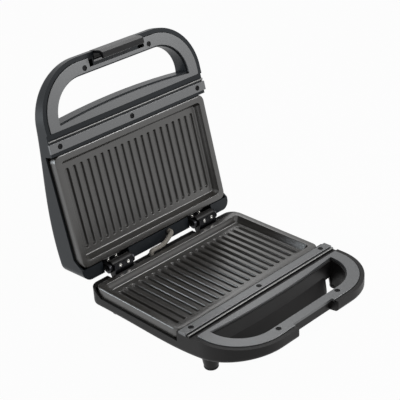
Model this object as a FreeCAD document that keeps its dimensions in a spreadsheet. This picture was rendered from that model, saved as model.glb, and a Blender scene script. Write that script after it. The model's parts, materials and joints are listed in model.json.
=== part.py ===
"""Panini press, shown open: a base and a lid joined by a floating hinge, each with a ribbed
griddle plate, a heating element and a handle loop, and a latch clip in the lid handle.

Millimetres. +X is the user's right, +Y is the back (the hinge side), +Z is up. The origin is on
the table, under the middle of the open press. Places along Y are measured from the hinge axis.
Lid pieces are built in the shut pose, as mirror images of the base, and then turned open.
"""

import FreeCAD, Part
import Sketcher
import math
import os

from FreeCAD import Placement, Rotation, Vector

# Driving dimensions: alias, value, what it is.
SIZES = [
    # Frame of the whole press
    ("hinge_setback", 86.96, "origin to the hinge axis, along Y"),
    ("deck_height", 40.0, "table to the top of the base's front strip"),
    ("closed_gap", 1.0, "air between the two front strips when shut"),
    ("lid_open_angle", 102.9, "opening of the lid at its stop, degrees"),
    # Casings, in plan
    ("casing_width", 235.0, "width of both casings"),
    ("casing_wall", 2.3, "wall of both casings"),
    ("casing_rim", 5.5, "casing that shows outside the handle cover"),
    ("rear_corner_radius", 14.0, "rear corners of the casings in plan"),
    ("lid_rear_corner", 11.0, "rear corners of the lid casing"),
    ("base_rear_inset", 0.5, "hinge axis to the base's rear wall"),
    ("lid_rear_overhang", 4.0, "lid's rear wall past the hinge axis"),
    ("rear_ledge_drop", 7.0, "front strip's top down to the base's rear ledge"),
    ("lid_ledge_rise", 4.0, "lid's front strip up to its rear ledge"),
    ("lip_run", 12.0, "length over which the lip rises to the rear ledge"),
    # Griddle plates
    ("hinge_to_plate", 10.4, "hinge axis to the plate's rear edge"),
    ("plate_width", 229.4, "griddle plate, across"),
    ("plate_depth", 135.3, "griddle plate, front to back"),
    ("plate_height", 14.8, "griddle plate's edge, top to bottom"),
    ("plate_drop", 3.7, "front strip's top down to the plate's rim"),
    ("plate_rim", 8.3, "width of the flat rim"),
    ("plate_corner", 8.0, "outer corner radius of the plate"),
    ("plate_fit", 0.5, "air between the plate and the casing round it"),
    ("plate_edge", 1.6, "rounding of the plate's upper outer edge"),
    ("rim_edge", 0.7, "rounding of the rim at the recess"),
    ("recess_depth", 8.5, "rim down to the ribbed floor"),
    ("recess_corner", 5.0, "corner radius of the recess"),
    ("groove_count", 20, "grooves in the floor"),
    ("groove_pitch", 10.13, "groove to groove"),
    ("groove_length", 96.3, "length of a groove"),
    ("groove_width", 5.0, "groove at its mouth"),
    ("groove_depth", 3.2, "depth of a groove"),
    ("groove_taper", 20.0, "slope of a groove's sides, degrees"),
    # Front strip and trim rod
    ("plate_to_strip", 4.7, "plate's front edge to the strip"),
    ("strip_width", 10.7, "front strip, front to back"),
    ("strip_thickness", 3.0, "front strip"),
    ("strip_overhang", 0.8, "strip past the casing's side"),
    ("strip_screw_inset", 12.5, "casing's side in to the outer strip screws"),
    ("edge_rounding", 0.4, "upper edges of the strips and the handle covers"),
    ("rod_radius", 1.3, "trim rod"),
    ("strip_to_rod", 1.5, "strip's front edge to the rod's near side"),
    ("rod_to_cover", 6.4, "rod's far side to the handle cover"),
    # Handle cover and finger hole
    ("cover_depth", 64.4, "handle cover, front to back"),
    ("cover_thickness", 3.0, "handle cover"),
    ("cover_corner", 56.0, "front corner radius of the cover"),
    ("cover_fit", 0.7, "air between the cover and the casing's rim"),
    ("cover_screw_span", 95.6, "cover screws, centre to centre"),
    ("grip_width", 14.0, "cover from its outer edge to the finger hole"),
    ("rear_bar_width", 10.0, "cover behind the finger hole, at the middle"),
    ("rear_bar_side", 5.0, "cover behind the finger hole, at the sides"),
    ("hole_wall", 2.4, "casing wall round the finger hole"),
    ("hole_step", 2.0, "casing's finger hole wall in from the cover's edge"),
    ("cover_ledge", 2.5, "casing's ledge under the cover's edge"),
    ("casing_ceiling", 2.0, "casing's skin under the strip and the cover"),
    # Heights of the base casing, down from the front strip's top
    ("rim_drop", 0.8, "casing's rim round the handle cover"),
    ("lip_drop", 15.5, "casing's lip beside the griddle plate"),
    ("base_front_height", 13.5, "underside at the handle's front"),
    ("base_strip_height", 27.0, "underside at the front strip"),
    ("base_rear_height", 29.5, "underside at the rear wall"),
    ("belly_height", 37.5, "underside of the belly"),
    ("belly_inset", 31.0, "belly's floor in from the casing's side"),
    ("belly_setback", 0.6, "step from the grip hole's rear wall back to the belly"),
    ("belly_flare", 11.0, "belly wider at the lip than at its floor, each side"),
    ("belly_corner", 14.0, "corner radius of the belly"),
    ("belly_edge", 3.2, "rounding of the belly's floor edge"),
    ("belly_rear", 10.0, "casing's rear wall to the belly at the lip"),
    ("belly_slope", 0.5, "belly's floor in from its rear at the lip"),
    ("belly_lean", 13.0, "belly's floor forward of its front at the lip"),
    # Heights of the lid casing, up from the front strip's face
    ("lid_front_height", 14.0, "lid's top at the handle's front"),
    ("lid_strip_height", 23.5, "lid's top at the front strip"),
    ("lid_middle_height", 41.0, "lid's top at the middle of the plate"),
    ("lid_rear_height", 47.0, "lid's top at the rear crown"),
    ("lid_back_height", 40.0, "lid's top of the rear face"),
    ("lid_crown_setback", 11.0, "hinge axis to the rear crown"),
    ("lid_back_setback", 2.0, "hinge axis to the top of the rear face"),
    ("lid_middle_offset", 15.5, "point of that middle height, ahead of the plate's middle"),
    ("lid_edge_radius", 6.0, "rounding of the lid's top edge"),
    ("base_edge_radius", 5.0, "rounding of the base's lower edge"),
    # Screws
    ("screw_radius", 1.45, "shank of the casing screws"),
    ("screw_length", 9.0, "casing screws under the head"),
    ("head_radius", 2.8, "head of the casing screws"),
    ("head_height", 1.5, "head of the casing screws"),
    ("head_sink", 0.5, "head below the face round it"),
    ("screw_fit", 0.1, "air round a screw, all sizes"),
    ("boss_radius", 3.6, "screw bosses in the casings"),
    # Feet
    ("foot_inset_front", 14.5, "casing's side in to the front feet"),
    ("foot_front", 9.4, "handle cover's rear edge forward to the front feet"),
    ("foot_inset_rear", 20.0, "casing's side in to the rear feet"),
    ("foot_rear", 27.5, "hinge axis to the rear feet"),
    ("foot_flare", 3.5, "foot wider at the casing than at its pad, on the radius"),
    ("pad_radius", 8.0, "rubber pad and the foot's end"),
    ("pad_height", 4.0, "rubber pad below its foot"),
    ("pad_rounding", 2.0, "rounding of the pad's lower edge"),
    ("pad_stem", 5.0, "stem of the pad inside the foot, length"),
    ("pad_stem_radius", 3.0, "stem of the pad inside the foot, radius"),
    # Hinges
    ("hinge_inset", 49.5, "casing's side in to the middle of each hinge"),
    ("knuckle_width", 28.0, "base bracket between the two ears"),
    ("knuckle_radius", 5.5, "bracket and ears round the pin"),
    ("ear_thickness", 4.0, "ear of the lid's hinge arm"),
    ("ear_gap", 0.5, "bracket to ear, each side"),
    ("pin_radius", 2.5, "hinge pin"),
    ("pin_overhang", 1.0, "pin past the outer ear faces"),
    ("pin_fit", 0.06, "running clearance round the pin"),
    ("hinge_float", 3.0, "rise of the lid for thick bread"),
    ("window_drop", 12.5, "hinge axis to the floor of the base's hinge window"),
    ("lid_window_rise", 15.5, "hinge axis to the ceiling of the lid's hinge window"),
    ("window_margin", 1.4, "hinge window past the ears, each side"),
    ("post_front", 6.0, "hinge axis to the front of the base's hinge post"),
    ("plate_sheet", 2.0, "steel hinge plate"),
    ("hinge_plate_top", 6.2, "hinge axis up to the top of the hinge plate"),
    ("hinge_screw_rise", 3.0, "hinge axis up to the hinge screws"),
    ("hinge_screw_span", 12.0, "hinge screws, centre to centre"),
    ("hinge_screw_radius", 1.3, "shank of the hinge screws"),
    ("hinge_screw_length", 4.6, "hinge screws under the head"),
    ("hinge_head_radius", 2.4, "head of the hinge screws"),
    ("hinge_head_height", 1.1, "head of the hinge screws"),
    ("arm_bar", 3.0, "crossbar of the lid's hinge arm"),
    ("arm_bar_depth", 6.0, "crossbar of the lid's hinge arm, front to back"),
    # Latch
    ("latch_width", 60.0, "latch clip"),
    ("latch_slot_width", 81.0, "notch in the lid's handle cover"),
    ("bar_notch_width", 64.0, "notch in the base's handle bar"),
    ("notch_ledge", 4.0, "cover left between the notch and the hole"),
    ("bar_lip", 3.5, "bar's lip back from the cover's front edge"),
    ("bar_lip_depth", 5.0, "height of the bar's lip"),
    ("bar_undercut", 3.0, "wall under the bar's lip, set back"),
    ("latch_pivot_rise", 7.0, "lid's face to the latch pin"),
    ("latch_pin_radius", 1.5, "latch pin"),
    ("latch_pin_front", 7.5, "latch pin behind the latch's outer face"),
    ("latch_outside", 0.5, "latch's outer face past the casing's front"),
    ("latch_reach", 15.0, "latch clip past the lid's face"),
    ("latch_web", 3.2, "web of the latch clip"),
    ("latch_boss", 4.0, "latch clip round its pin"),
    ("latch_nose", 9.1, "nose's tip behind the latch's outer face"),
    ("latch_nose_height", 3.6, "height of the nose's tip"),
    ("latch_top", 3.5, "latch clip beyond its pin"),
    ("latch_side_fit", 1.2, "air beside the latch clip"),
    ("latch_bay", 12.5, "casing's front back to the rear of the latch bay"),
    # Heating elements and what goes with them
    ("element_radius", 3.3, "heating element"),
    ("element_span", 150.0, "element's straight runs, centre to centre across"),
    ("element_length", 88.0, "element, front to back"),
    ("element_bend", 22.0, "bend radius of the element"),
    ("element_pin_radius", 1.6, "cold pins of the element"),
    ("element_pin_length", 13.0, "cold pins of the element"),
    ("clamp_sheet", 0.8, "clamp bars under the element"),
    ("clamp_width", 14.0, "clamp bars, front to back"),
    ("seat_gap", 0.2, "air where two pieces rest on each other"),
    ("pan_width", 176.0, "reflector pan, across"),
    ("pan_depth", 98.0, "reflector pan, front to back"),
    ("pan_sheet", 0.8, "sheet of the reflector pan"),
    ("pan_height", 8.6, "reflector pan"),
    ("pan_corner", 10.0, "corner radius of the pan"),
    ("pillar_radius", 4.2, "pillars under the plate that hold the pan"),
    ("pillar_span_x", 96.0, "pillars, centre to centre across"),
    ("pillar_span_y", 40.0, "pillars, centre to centre front to back"),
    # Wire sleeve and cord inlet
    ("sleeve_radius", 2.8, "sleeve round the wires between the halves"),
    ("sleeve_base_x", -24.0, "where the sleeve leaves the base, across"),
    ("sleeve_lid_x", 15.0, "where the sleeve enters the lid, across"),
    ("sleeve_setback", 5.2, "hinge axis to the sleeve's holes"),
    ("sleeve_rest", 2.6, "air under the sleeve where it lies along the base's ledge"),
    ("sleeve_slant", 19.0, "lid's hole back to where the sleeve turns up to it, across"),
    ("grommet_wall", 1.1, "grommet round the sleeve"),
    ("grommet_collar", 0.4, "grommet's collar past its barrel"),
    ("inlet_offset", 34.0, "middle of the right hinge in to the cord inlet"),
    ("inlet_drop", 17.0, "front strip's top down to the cord inlet"),
    ("inlet_radius", 3.6, "bore of the cord inlet bush"),
    ("inlet_wall", 2.2, "wall of the cord inlet bush"),
    # Lamps
    ("lamp_radius", 3.5, "lamp lens"),
    ("lamp_centre", 35.0, "middle of the two lenses, across"),
    ("lamp_reach", 25.5, "lid's face to the lenses' tops"),
    ("lamp_block_height", 14.0, "lamp holder"),
    ("lamp_spacing", 17.0, "lens to lens"),
    ("lamp_offset", 4.0, "front strip's middle forward to the lenses"),
    # Wiring
    ("lead_radius", 1.2, "insulated internal leads"),
    ("terminal_offset", 11.0, "front strip's middle forward to the terminal block"),
    ("terminal_width", 30.0, "terminal block"),
    ("terminal_depth", 14.0, "terminal block, front to back"),
    ("terminal_height", 14.0, "terminal block"),
    ("fuse_radius", 1.7, "thermal fuse"),
    ("fuse_length", 12.0, "thermal fuse"),
    ("thermostat_radius", 8.0, "thermostat"),
    ("thermostat_height", 5.0, "thermostat"),
]

doc = FreeCAD.newDocument("panini_press")


def make_sheet():
    """Writes the driving dimensions into the document's spreadsheet."""
    table = doc.addObject("Spreadsheet::Sheet", "Sizes")
    for row, (alias, value, note) in enumerate(SIZES, start=1):
        table.set("A%d" % row, note)
        table.set("B%d" % row, str(value))
        table.setAlias("B%d" % row, alias)
    doc.recompute()
    return table


sheet = make_sheet()
pieces = []


def size(alias):
    """Value of one driving dimension, read from the spreadsheet."""
    return float(sheet.get(alias))


def bound(expression):
    """The expression with every alias written as a reference to the spreadsheet."""
    words = expression.replace("(", " ( ").replace(")", " ) ").split()
    known = {alias for alias, _, _ in SIZES}
    return " ".join("Sizes." + word if word in known else word for word in words)


# Planes and lines that several pieces share, all worked out from the sheet.
HINGE_Y = size("hinge_setback")
DECK = size("deck_height")
HINGE_Z = DECK + size("closed_gap") / 2
LID_DECK = DECK + size("closed_gap")
HALF = size("casing_width") / 2
PLATE_REAR = HINGE_Y - size("hinge_to_plate")
PLATE_FRONT = PLATE_REAR - size("plate_depth")
STRIP_REAR = PLATE_FRONT - size("plate_to_strip")
STRIP_FRONT = STRIP_REAR - size("strip_width")
STRIP_Y = (STRIP_REAR + STRIP_FRONT) / 2
ROD_Y = STRIP_FRONT - size("strip_to_rod") - size("rod_radius")
COVER_REAR = ROD_Y - size("rod_radius") - size("rod_to_cover")
COVER_FRONT = COVER_REAR - size("cover_depth")
COVER_HALF = HALF - size("casing_rim")
CASING_FRONT = COVER_FRONT - size("casing_rim")
HOLE_FRONT = COVER_FRONT + size("grip_width")
HOLE_HALF = COVER_HALF - size("grip_width")
HOLE_CORNER = size("cover_corner") - size("grip_width")
HOLE_REAR_MIDDLE = COVER_REAR - size("rear_bar_width")
HOLE_REAR_SIDE = COVER_REAR - size("rear_bar_side")
BASE_REAR = HINGE_Y - size("base_rear_inset")
LID_REAR = HINGE_Y + size("lid_rear_overhang")
LEDGE_FRONT = PLATE_REAR + size("plate_fit")
PLATE_MIDDLE = (PLATE_REAR + PLATE_FRONT) / 2
PLATE_BOTTOM = DECK - size("plate_drop") - size("plate_height")
COVER_SCREW_Y = COVER_FRONT + size("grip_width") * 0.65
PAN_TOP = PLATE_BOTTOM - size("seat_gap")
PAN_BOTTOM = PAN_TOP - size("pan_height")
BASE_LEDGE_Z = DECK - size("rear_ledge_drop")
LID_LEDGE_Z = DECK - size("lid_ledge_rise")
CEILING_Z = DECK - size("strip_thickness") - size("casing_ceiling")
STEP_Y = PLATE_FRONT - size("plate_fit")
FRONT_CORNER = size("cover_corner") + size("casing_rim")
SEAT = size("seat_gap")
ELEMENT_Z = PLATE_BOTTOM - SEAT - size("element_radius")
EAR_INNER = size("knuckle_width") / 2 + size("ear_gap")
EAR_OUTER = EAR_INNER + size("ear_thickness")
WINDOW_HALF = EAR_OUTER + size("window_margin")
SLEEVE_Y = HINGE_Y - size("sleeve_setback")
HEAD_SEAT_Z = DECK - size("head_sink") - size("head_height")
LATCH_FACE = CASING_FRONT - size("latch_outside")
LATCH_PIN_Y = LATCH_FACE + size("latch_pin_front")
LATCH_PIN_Z = DECK - size("latch_pivot_rise")
HINGE_X = HALF - size("hinge_inset")
INLET_X = HINGE_X - size("inlet_offset")
INLET_Z = DECK - size("inlet_drop")
LAMP_Y = STRIP_Y - size("lamp_offset")
TERMINAL_Y = STRIP_Y - size("terminal_offset")

LID_OPEN = Placement(
    Vector(0, 0, 0),
    Rotation(Vector(1, 0, 0), -size("lid_open_angle")),
    Vector(0, HINGE_Y, HINGE_Z),
)


# ---------------------------------------------------------------- helpers


def keep(obj, label, lid=False):
    """Registers an object of the document as a finished piece; a lid piece is turned open."""
    obj.Label = label
    if lid:
        obj.Placement = LID_OPEN.multiply(obj.Placement)
    pieces.append(obj)
    return obj


def shape_piece(label, shape, lid=False):
    """A piece whose shape is worked out with Part's own functions."""
    obj = doc.addObject("Part::Feature", label + "_shape")
    obj.Shape = shape
    return keep(obj, label, lid)


def mirrored(source, label):
    """The lid's copy of a base piece, mirrored in the hinge plane and turned open."""
    obj = doc.addObject("Part::Mirroring", label + "_mirror")
    obj.Source = source
    obj.Base = Vector(0, 0, HINGE_Z)
    obj.Normal = Vector(0, 0, 1)
    return keep(obj, label, lid=True)


def flip(shape):
    """A shape mirrored in the hinge plane, from the base's side to the shut lid's."""
    return shape.mirror(Vector(0, 0, HINGE_Z), Vector(0, 0, 1))


def fused(shapes):
    """One shape out of several that touch or overlap."""
    return shapes[0].multiFuse(shapes[1:]).removeSplitter() if len(shapes) > 1 else shapes[0]


def block(x0, x1, y0, y1, z0, z1):
    """An axis-aligned block between two corners."""
    return Part.makeBox(x1 - x0, y1 - y0, z1 - z0, Vector(x0, y0, z0))


def rod(start, end, radius):
    """A round rod between two points."""
    along = end - start
    return Part.makeCylinder(radius, along.Length, start, along)


def arc(first, middle, last):
    """A circular edge through three points."""
    return Part.Arc(first, middle, last).toShape()


def corner(cx, cy, radius, angle):
    """A quarter circle about (cx, cy) that starts at the given angle in degrees."""
    points = []
    for turn in (0.0, 45.0, 90.0):
        a = math.radians(angle + turn)
        points.append(Vector(cx + radius * math.cos(a), cy + radius * math.sin(a), 0))
    return arc(*points)


def plan(half, y_front, y_rear, r_front, r_rear):
    """A flat face: a rectangle about x = 0 with round front corners and round rear corners."""
    edges = [
        Part.makeLine(Vector(-half + r_front, y_front, 0), Vector(half - r_front, y_front, 0)),
        corner(half - r_front, y_front + r_front, r_front, -90),
        Part.makeLine(Vector(half, y_front + r_front, 0), Vector(half, y_rear - r_rear, 0)),
        corner(half - r_rear, y_rear - r_rear, r_rear, 0),
        Part.makeLine(Vector(half - r_rear, y_rear, 0), Vector(-half + r_rear, y_rear, 0)),
        corner(-half + r_rear, y_rear - r_rear, r_rear, 90),
        Part.makeLine(Vector(-half, y_rear - r_rear, 0), Vector(-half, y_front + r_front, 0)),
        corner(-half + r_front, y_front + r_front, r_front, 180),
    ]
    return Part.Face(Part.Wire(edges))


def prism(face, z0, z1):
    """A flat face at z = 0 carried up from z0 to z1."""
    lifted = face.copy()
    lifted.translate(Vector(0, 0, z0))
    return lifted.extrude(Vector(0, 0, z1 - z0))


def across(edges, half):
    """A closed outline in the Y-Z plane carried across from -half to half."""
    face = Part.Face(Part.Wire(edges))
    face.translate(Vector(-half, 0, 0))
    return face.extrude(Vector(2 * half, 0, 0))


def polygon_edges(points):
    """Straight edges round a closed outline of (y, z) points."""
    corners = [Vector(0, y, z) for y, z in points]
    return [Part.makeLine(a, b) for a, b in zip(corners, corners[1:] + corners[:1])]


def hole_plan(grow):
    """The finger hole's outline, grown outwards: round in front, a bowed bar behind."""
    half = HOLE_HALF + grow
    front = HOLE_FRONT - grow
    radius = HOLE_CORNER + grow
    centre_y = front + radius
    side = HOLE_REAR_SIDE + grow
    middle = HOLE_REAR_MIDDLE + grow
    drop = math.asin((centre_y - side) / radius)

    def on_corner(sign, turn):
        x = half - radius + radius * math.cos(turn)
        return Vector(sign * x, centre_y - radius * math.sin(turn), 0)

    bend = (drop + math.pi / 2) / 2
    foot = half - radius
    edges = [
        Part.makeLine(Vector(-foot, front, 0), Vector(foot, front, 0)),
        arc(Vector(foot, front, 0), on_corner(1, bend), on_corner(1, drop)),
        arc(on_corner(1, drop), Vector(0, middle, 0), on_corner(-1, drop)),
        arc(on_corner(-1, drop), on_corner(-1, bend), Vector(-foot, front, 0)),
    ]
    return Part.Face(Part.Wire(edges))


def cover_plan(grow):
    """The handle cover's outer outline, grown outwards."""
    front = COVER_FRONT - grow
    rear = COVER_REAR + grow
    return plan(COVER_HALF + grow, front, rear, size("cover_corner") + grow, 1.5)


def rounded_path(points, share=0.45):
    """A wire of straight runs joined by tangent arcs, each as large as its two runs allow."""
    edges = []
    start = points[0]
    for before, turn, after in zip(points, points[1:], points[2:]):
        into = (before - turn).normalize()
        out = (after - turn).normalize()
        trim = share * min((before - turn).Length, (after - turn).Length)
        half_turn = (math.pi - into.getAngle(out)) / 2
        radius = trim / math.tan(half_turn)
        first = turn + into * trim
        last = turn + out * trim
        bisector = (into + out).normalize()
        reach = radius / math.cos(half_turn) - radius
        edges.append(Part.LineSegment(start, first).toShape())
        edges.append(arc(first, turn + bisector * reach, last))
        start = last
    edges.append(Part.LineSegment(start, points[-1]).toShape())
    return Part.Wire(edges)


def tube(points, radius, share=0.45):
    """A round solid along a rounded path."""
    path = rounded_path(points, share)
    first = path.Edges[0]
    ring = Part.Wire(Part.makeCircle(radius, points[0], points[1] - points[0]))
    solid = path.makePipeShell([ring], True, False)
    expected = math.pi * radius ** 2 * path.Length
    if abs(solid.Volume - expected) > 0.02 * expected:
        raise RuntimeError("tube volume %.1f, expected %.1f" % (solid.Volume, expected))
    return solid


def once_only(faces):
    """The edges that belong to just one of the given faces."""
    edges = [edge for face in faces for edge in face.Edges]
    return [edge for edge in edges if sum(edge.isSame(other) for other in edges) == 1]


def rounded(shape, edges, radius):
    """The shape with the given edges rounded."""
    return shape.makeFillet(radius, edges)


# ---------------------------------------------------------------- sketches and bodies


def new_body(name):
    """An empty PartDesign body."""
    return doc.addObject("PartDesign::Body", name)


def attach(body, sketch, x="0", y="0", z="0"):
    """Lays a sketch on the body's XY plane, its own origin moved to (x, y, z)."""
    planes = body.Origin.OriginFeatures
    ground = next(plane for plane in planes if plane.Role == "XY_Plane")
    sketch.AttachmentSupport = [(ground, "")]
    sketch.MapMode = "FlatFace"
    for axis, expression in zip("xyz", (x, y, z)):
        sketch.setExpression("AttachmentOffset.Base." + axis, bound(expression))


def rectangle(body, name, width, depth, x="0", y="0", z="0"):
    """A sketch of a rectangle about (x, y) at height z."""
    sketch = body.newObject("Sketcher::SketchObject", name)
    attach(body, sketch, x, y, z)
    corners = [Vector(-9, -7, 0), Vector(9, -7, 0), Vector(9, 7, 0), Vector(-9, 7, 0)]
    for start, end in zip(corners, corners[1:] + corners[:1]):
        sketch.addGeometry(Part.LineSegment(start, end))
    for line in range(4):
        sketch.addConstraint(Sketcher.Constraint("Coincident", line, 2, (line + 1) % 4, 1))
    sketch.addConstraint(Sketcher.Constraint("Horizontal", 0))
    sketch.addConstraint(Sketcher.Constraint("Vertical", 1))
    sketch.addConstraint(Sketcher.Constraint("Horizontal", 2))
    sketch.addConstraint(Sketcher.Constraint("Vertical", 3))
    sketch.addConstraint(Sketcher.Constraint("Symmetric", 0, 1, 2, 1, -1, 1))
    across_it = sketch.addConstraint(Sketcher.Constraint("DistanceX", 0, 1, 0, 2, 18))
    along_it = sketch.addConstraint(Sketcher.Constraint("DistanceY", 1, 1, 1, 2, 14))
    sketch.renameConstraint(across_it, "width")
    sketch.renameConstraint(along_it, "depth")
    sketch.setExpression("Constraints.width", bound(width))
    sketch.setExpression("Constraints.depth", bound(depth))
    return sketch


def circles(body, name, radius, span_x, span_y, x="0", y="0", z="0"):
    """A sketch of four equal circles at the corners of a rectangle about (x, y)."""
    sketch = body.newObject("Sketcher::SketchObject", name)
    attach(body, sketch, x, y, z)
    for cx, cy in ((-9, -7), (9, -7), (9, 7), (-9, 7)):
        sketch.addGeometry(Part.Circle(Vector(cx, cy, 0), Vector(0, 0, 1), 2))
    sketch.addConstraint(Sketcher.Constraint("Symmetric", 0, 3, 2, 3, -1, 1))
    sketch.addConstraint(Sketcher.Constraint("Symmetric", 1, 3, 3, 3, -1, 1))
    sketch.addConstraint(Sketcher.Constraint("Horizontal", 0, 3, 1, 3))
    sketch.addConstraint(Sketcher.Constraint("Vertical", 1, 3, 2, 3))
    for other in (1, 2, 3):
        sketch.addConstraint(Sketcher.Constraint("Equal", 0, other))
    named = (
        ("radius", Sketcher.Constraint("Radius", 0, 2), radius),
        ("span_x", Sketcher.Constraint("DistanceX", 0, 3, 1, 3, 18), span_x),
        ("span_y", Sketcher.Constraint("DistanceY", 1, 3, 2, 3, 14), span_y),
    )
    for title, constraint, expression in named:
        index = sketch.addConstraint(constraint)
        sketch.renameConstraint(index, title)
        sketch.setExpression("Constraints." + title, bound(expression))
    return sketch


def row(body, name, radius, span, x="0", y="0", z="0"):
    """A sketch of three equal circles in a row about (x, y), the outer two `span` apart."""
    sketch = body.newObject("Sketcher::SketchObject", name)
    attach(body, sketch, x, y, z)
    for cx in (-9, 9, 0):
        sketch.addGeometry(Part.Circle(Vector(cx, 0, 0), Vector(0, 0, 1), 2))
    sketch.addConstraint(Sketcher.Constraint("Coincident", 2, 3, -1, 1))
    sketch.addConstraint(Sketcher.Constraint("Symmetric", 0, 3, 1, 3, -1, 1))
    sketch.addConstraint(Sketcher.Constraint("Horizontal", 0, 3, 1, 3))
    for other in (1, 2):
        sketch.addConstraint(Sketcher.Constraint("Equal", 0, other))
    named = (
        ("radius", Sketcher.Constraint("Radius", 0, 2), radius),
        ("span", Sketcher.Constraint("DistanceX", 0, 3, 1, 3, 18), span),
    )
    for title, constraint, expression in named:
        index = sketch.addConstraint(constraint)
        sketch.renameConstraint(index, title)
        sketch.setExpression("Constraints." + title, bound(expression))
    return sketch


def groove_sketch(body, name, width, length, x, y, z):
    """A sketch of one groove's mouth: two straight sides and two half-round ends along Y."""
    sketch = body.newObject("Sketcher::SketchObject", name)
    attach(body, sketch, x, y, z)
    up = Vector(0, 0, 1)
    sketch.addGeometry(Part.LineSegment(Vector(2, -20, 0), Vector(2, 20, 0)))
    sketch.addGeometry(Part.ArcOfCircle(Part.Circle(Vector(0, 20, 0), up, 2), 0, math.pi))
    sketch.addGeometry(Part.LineSegment(Vector(-2, 20, 0), Vector(-2, -20, 0)))
    lower = Part.Circle(Vector(0, -20, 0), up, 2)
    sketch.addGeometry(Part.ArcOfCircle(lower, math.pi, 2 * math.pi))
    for geometry in range(4):
        joined = (geometry + 1) % 4
        sketch.addConstraint(Sketcher.Constraint("Tangent", geometry, 2, joined, 1))
    sketch.addConstraint(Sketcher.Constraint("Vertical", 0))
    sketch.addConstraint(Sketcher.Constraint("Symmetric", 0, 1, 2, 1, -1, 1))
    across_it = sketch.addConstraint(Sketcher.Constraint("DistanceX", 2, 1, 0, 2, 4))
    along_it = sketch.addConstraint(Sketcher.Constraint("DistanceY", 0, 1, 0, 2, 40))
    sketch.renameConstraint(across_it, "width")
    sketch.renameConstraint(along_it, "straight")
    sketch.setExpression("Constraints.width", bound(width))
    sketch.setExpression("Constraints.straight", bound(length + " - ( " + width + " )"))
    return sketch


def feature(body, kind, name, profile, length, reverse=False):
    """A pad or a pocket of the given length made from a sketch."""
    obj = body.newObject("PartDesign::" + kind, name)
    obj.Profile = profile
    obj.setExpression("Length", bound(length))
    obj.Reversed = reverse
    doc.recompute()
    return obj


def soften(body, name, base, chosen, radius):
    """A PartDesign fillet on those edges of the last feature that `chosen` accepts."""
    doc.recompute()
    edges = base.Shape.Edges
    names = ["Edge%d" % number for number, edge in enumerate(edges, start=1) if chosen(edge)]
    obj = body.newObject("PartDesign::Fillet", name)
    obj.Base = (base, names)
    obj.setExpression("Radius", bound(radius))
    doc.recompute()
    return obj


def upright(edge):
    """True for a straight vertical edge."""
    ends = edge.Vertexes
    if len(ends) != 2 or edge.Curve.TypeId != "Part::GeomLine":
        return False
    return abs(edge.tangentAt(edge.FirstParameter).z) > 0.999


def bound_cylinder(name, radius, length, x, y, z, axis="z"):
    """A Part cylinder whose size and place are bound to the sheet."""
    obj = doc.addObject("Part::Cylinder", name)
    obj.setExpression("Radius", bound(radius))
    obj.setExpression("Height", bound(length))
    turn = {"z": Rotation(), "x": Rotation(Vector(0, 1, 0), 90), "y": Rotation(Vector(1, 0, 0), -90)}
    obj.Placement = Placement(Vector(0, 0, 0), turn[axis])
    for direction, expression in zip("xyz", (x, y, z)):
        obj.setExpression("Placement.Base." + direction, bound(expression))
    return obj


def bound_box(name, length, width, height, x, y, z):
    """A Part box whose size and place are bound to the sheet."""
    obj = doc.addObject("Part::Box", name)
    obj.setExpression("Length", bound(length))
    obj.setExpression("Width", bound(width))
    obj.setExpression("Height", bound(height))
    for direction, expression in zip("xyz", (x, y, z)):
        obj.setExpression("Placement.Base." + direction, bound(expression))
    return obj


# Places along Y and Z as expressions, for the objects that are bound to the sheet.
PLATE_Y = "hinge_setback - hinge_to_plate - plate_depth / 2"
PLATE_TOP = "deck_height - plate_drop"
PLATE_LOW = "deck_height - plate_drop - plate_height"
STRIP_MID = "hinge_setback - hinge_to_plate - plate_depth - plate_to_strip - strip_width / 2"
ROD_MID = STRIP_MID + " - strip_width / 2 - strip_to_rod - rod_radius"
STRIP_SPAN = "casing_width - 2 * strip_screw_inset"
HINGE_MID = "( casing_width / 2 - hinge_inset )"
LATCH_PIN_MID = ROD_MID + (
    " - rod_radius - rod_to_cover - cover_depth - casing_rim - latch_outside + latch_pin_front")


# ---------------------------------------------------------------- griddle plates


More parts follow.
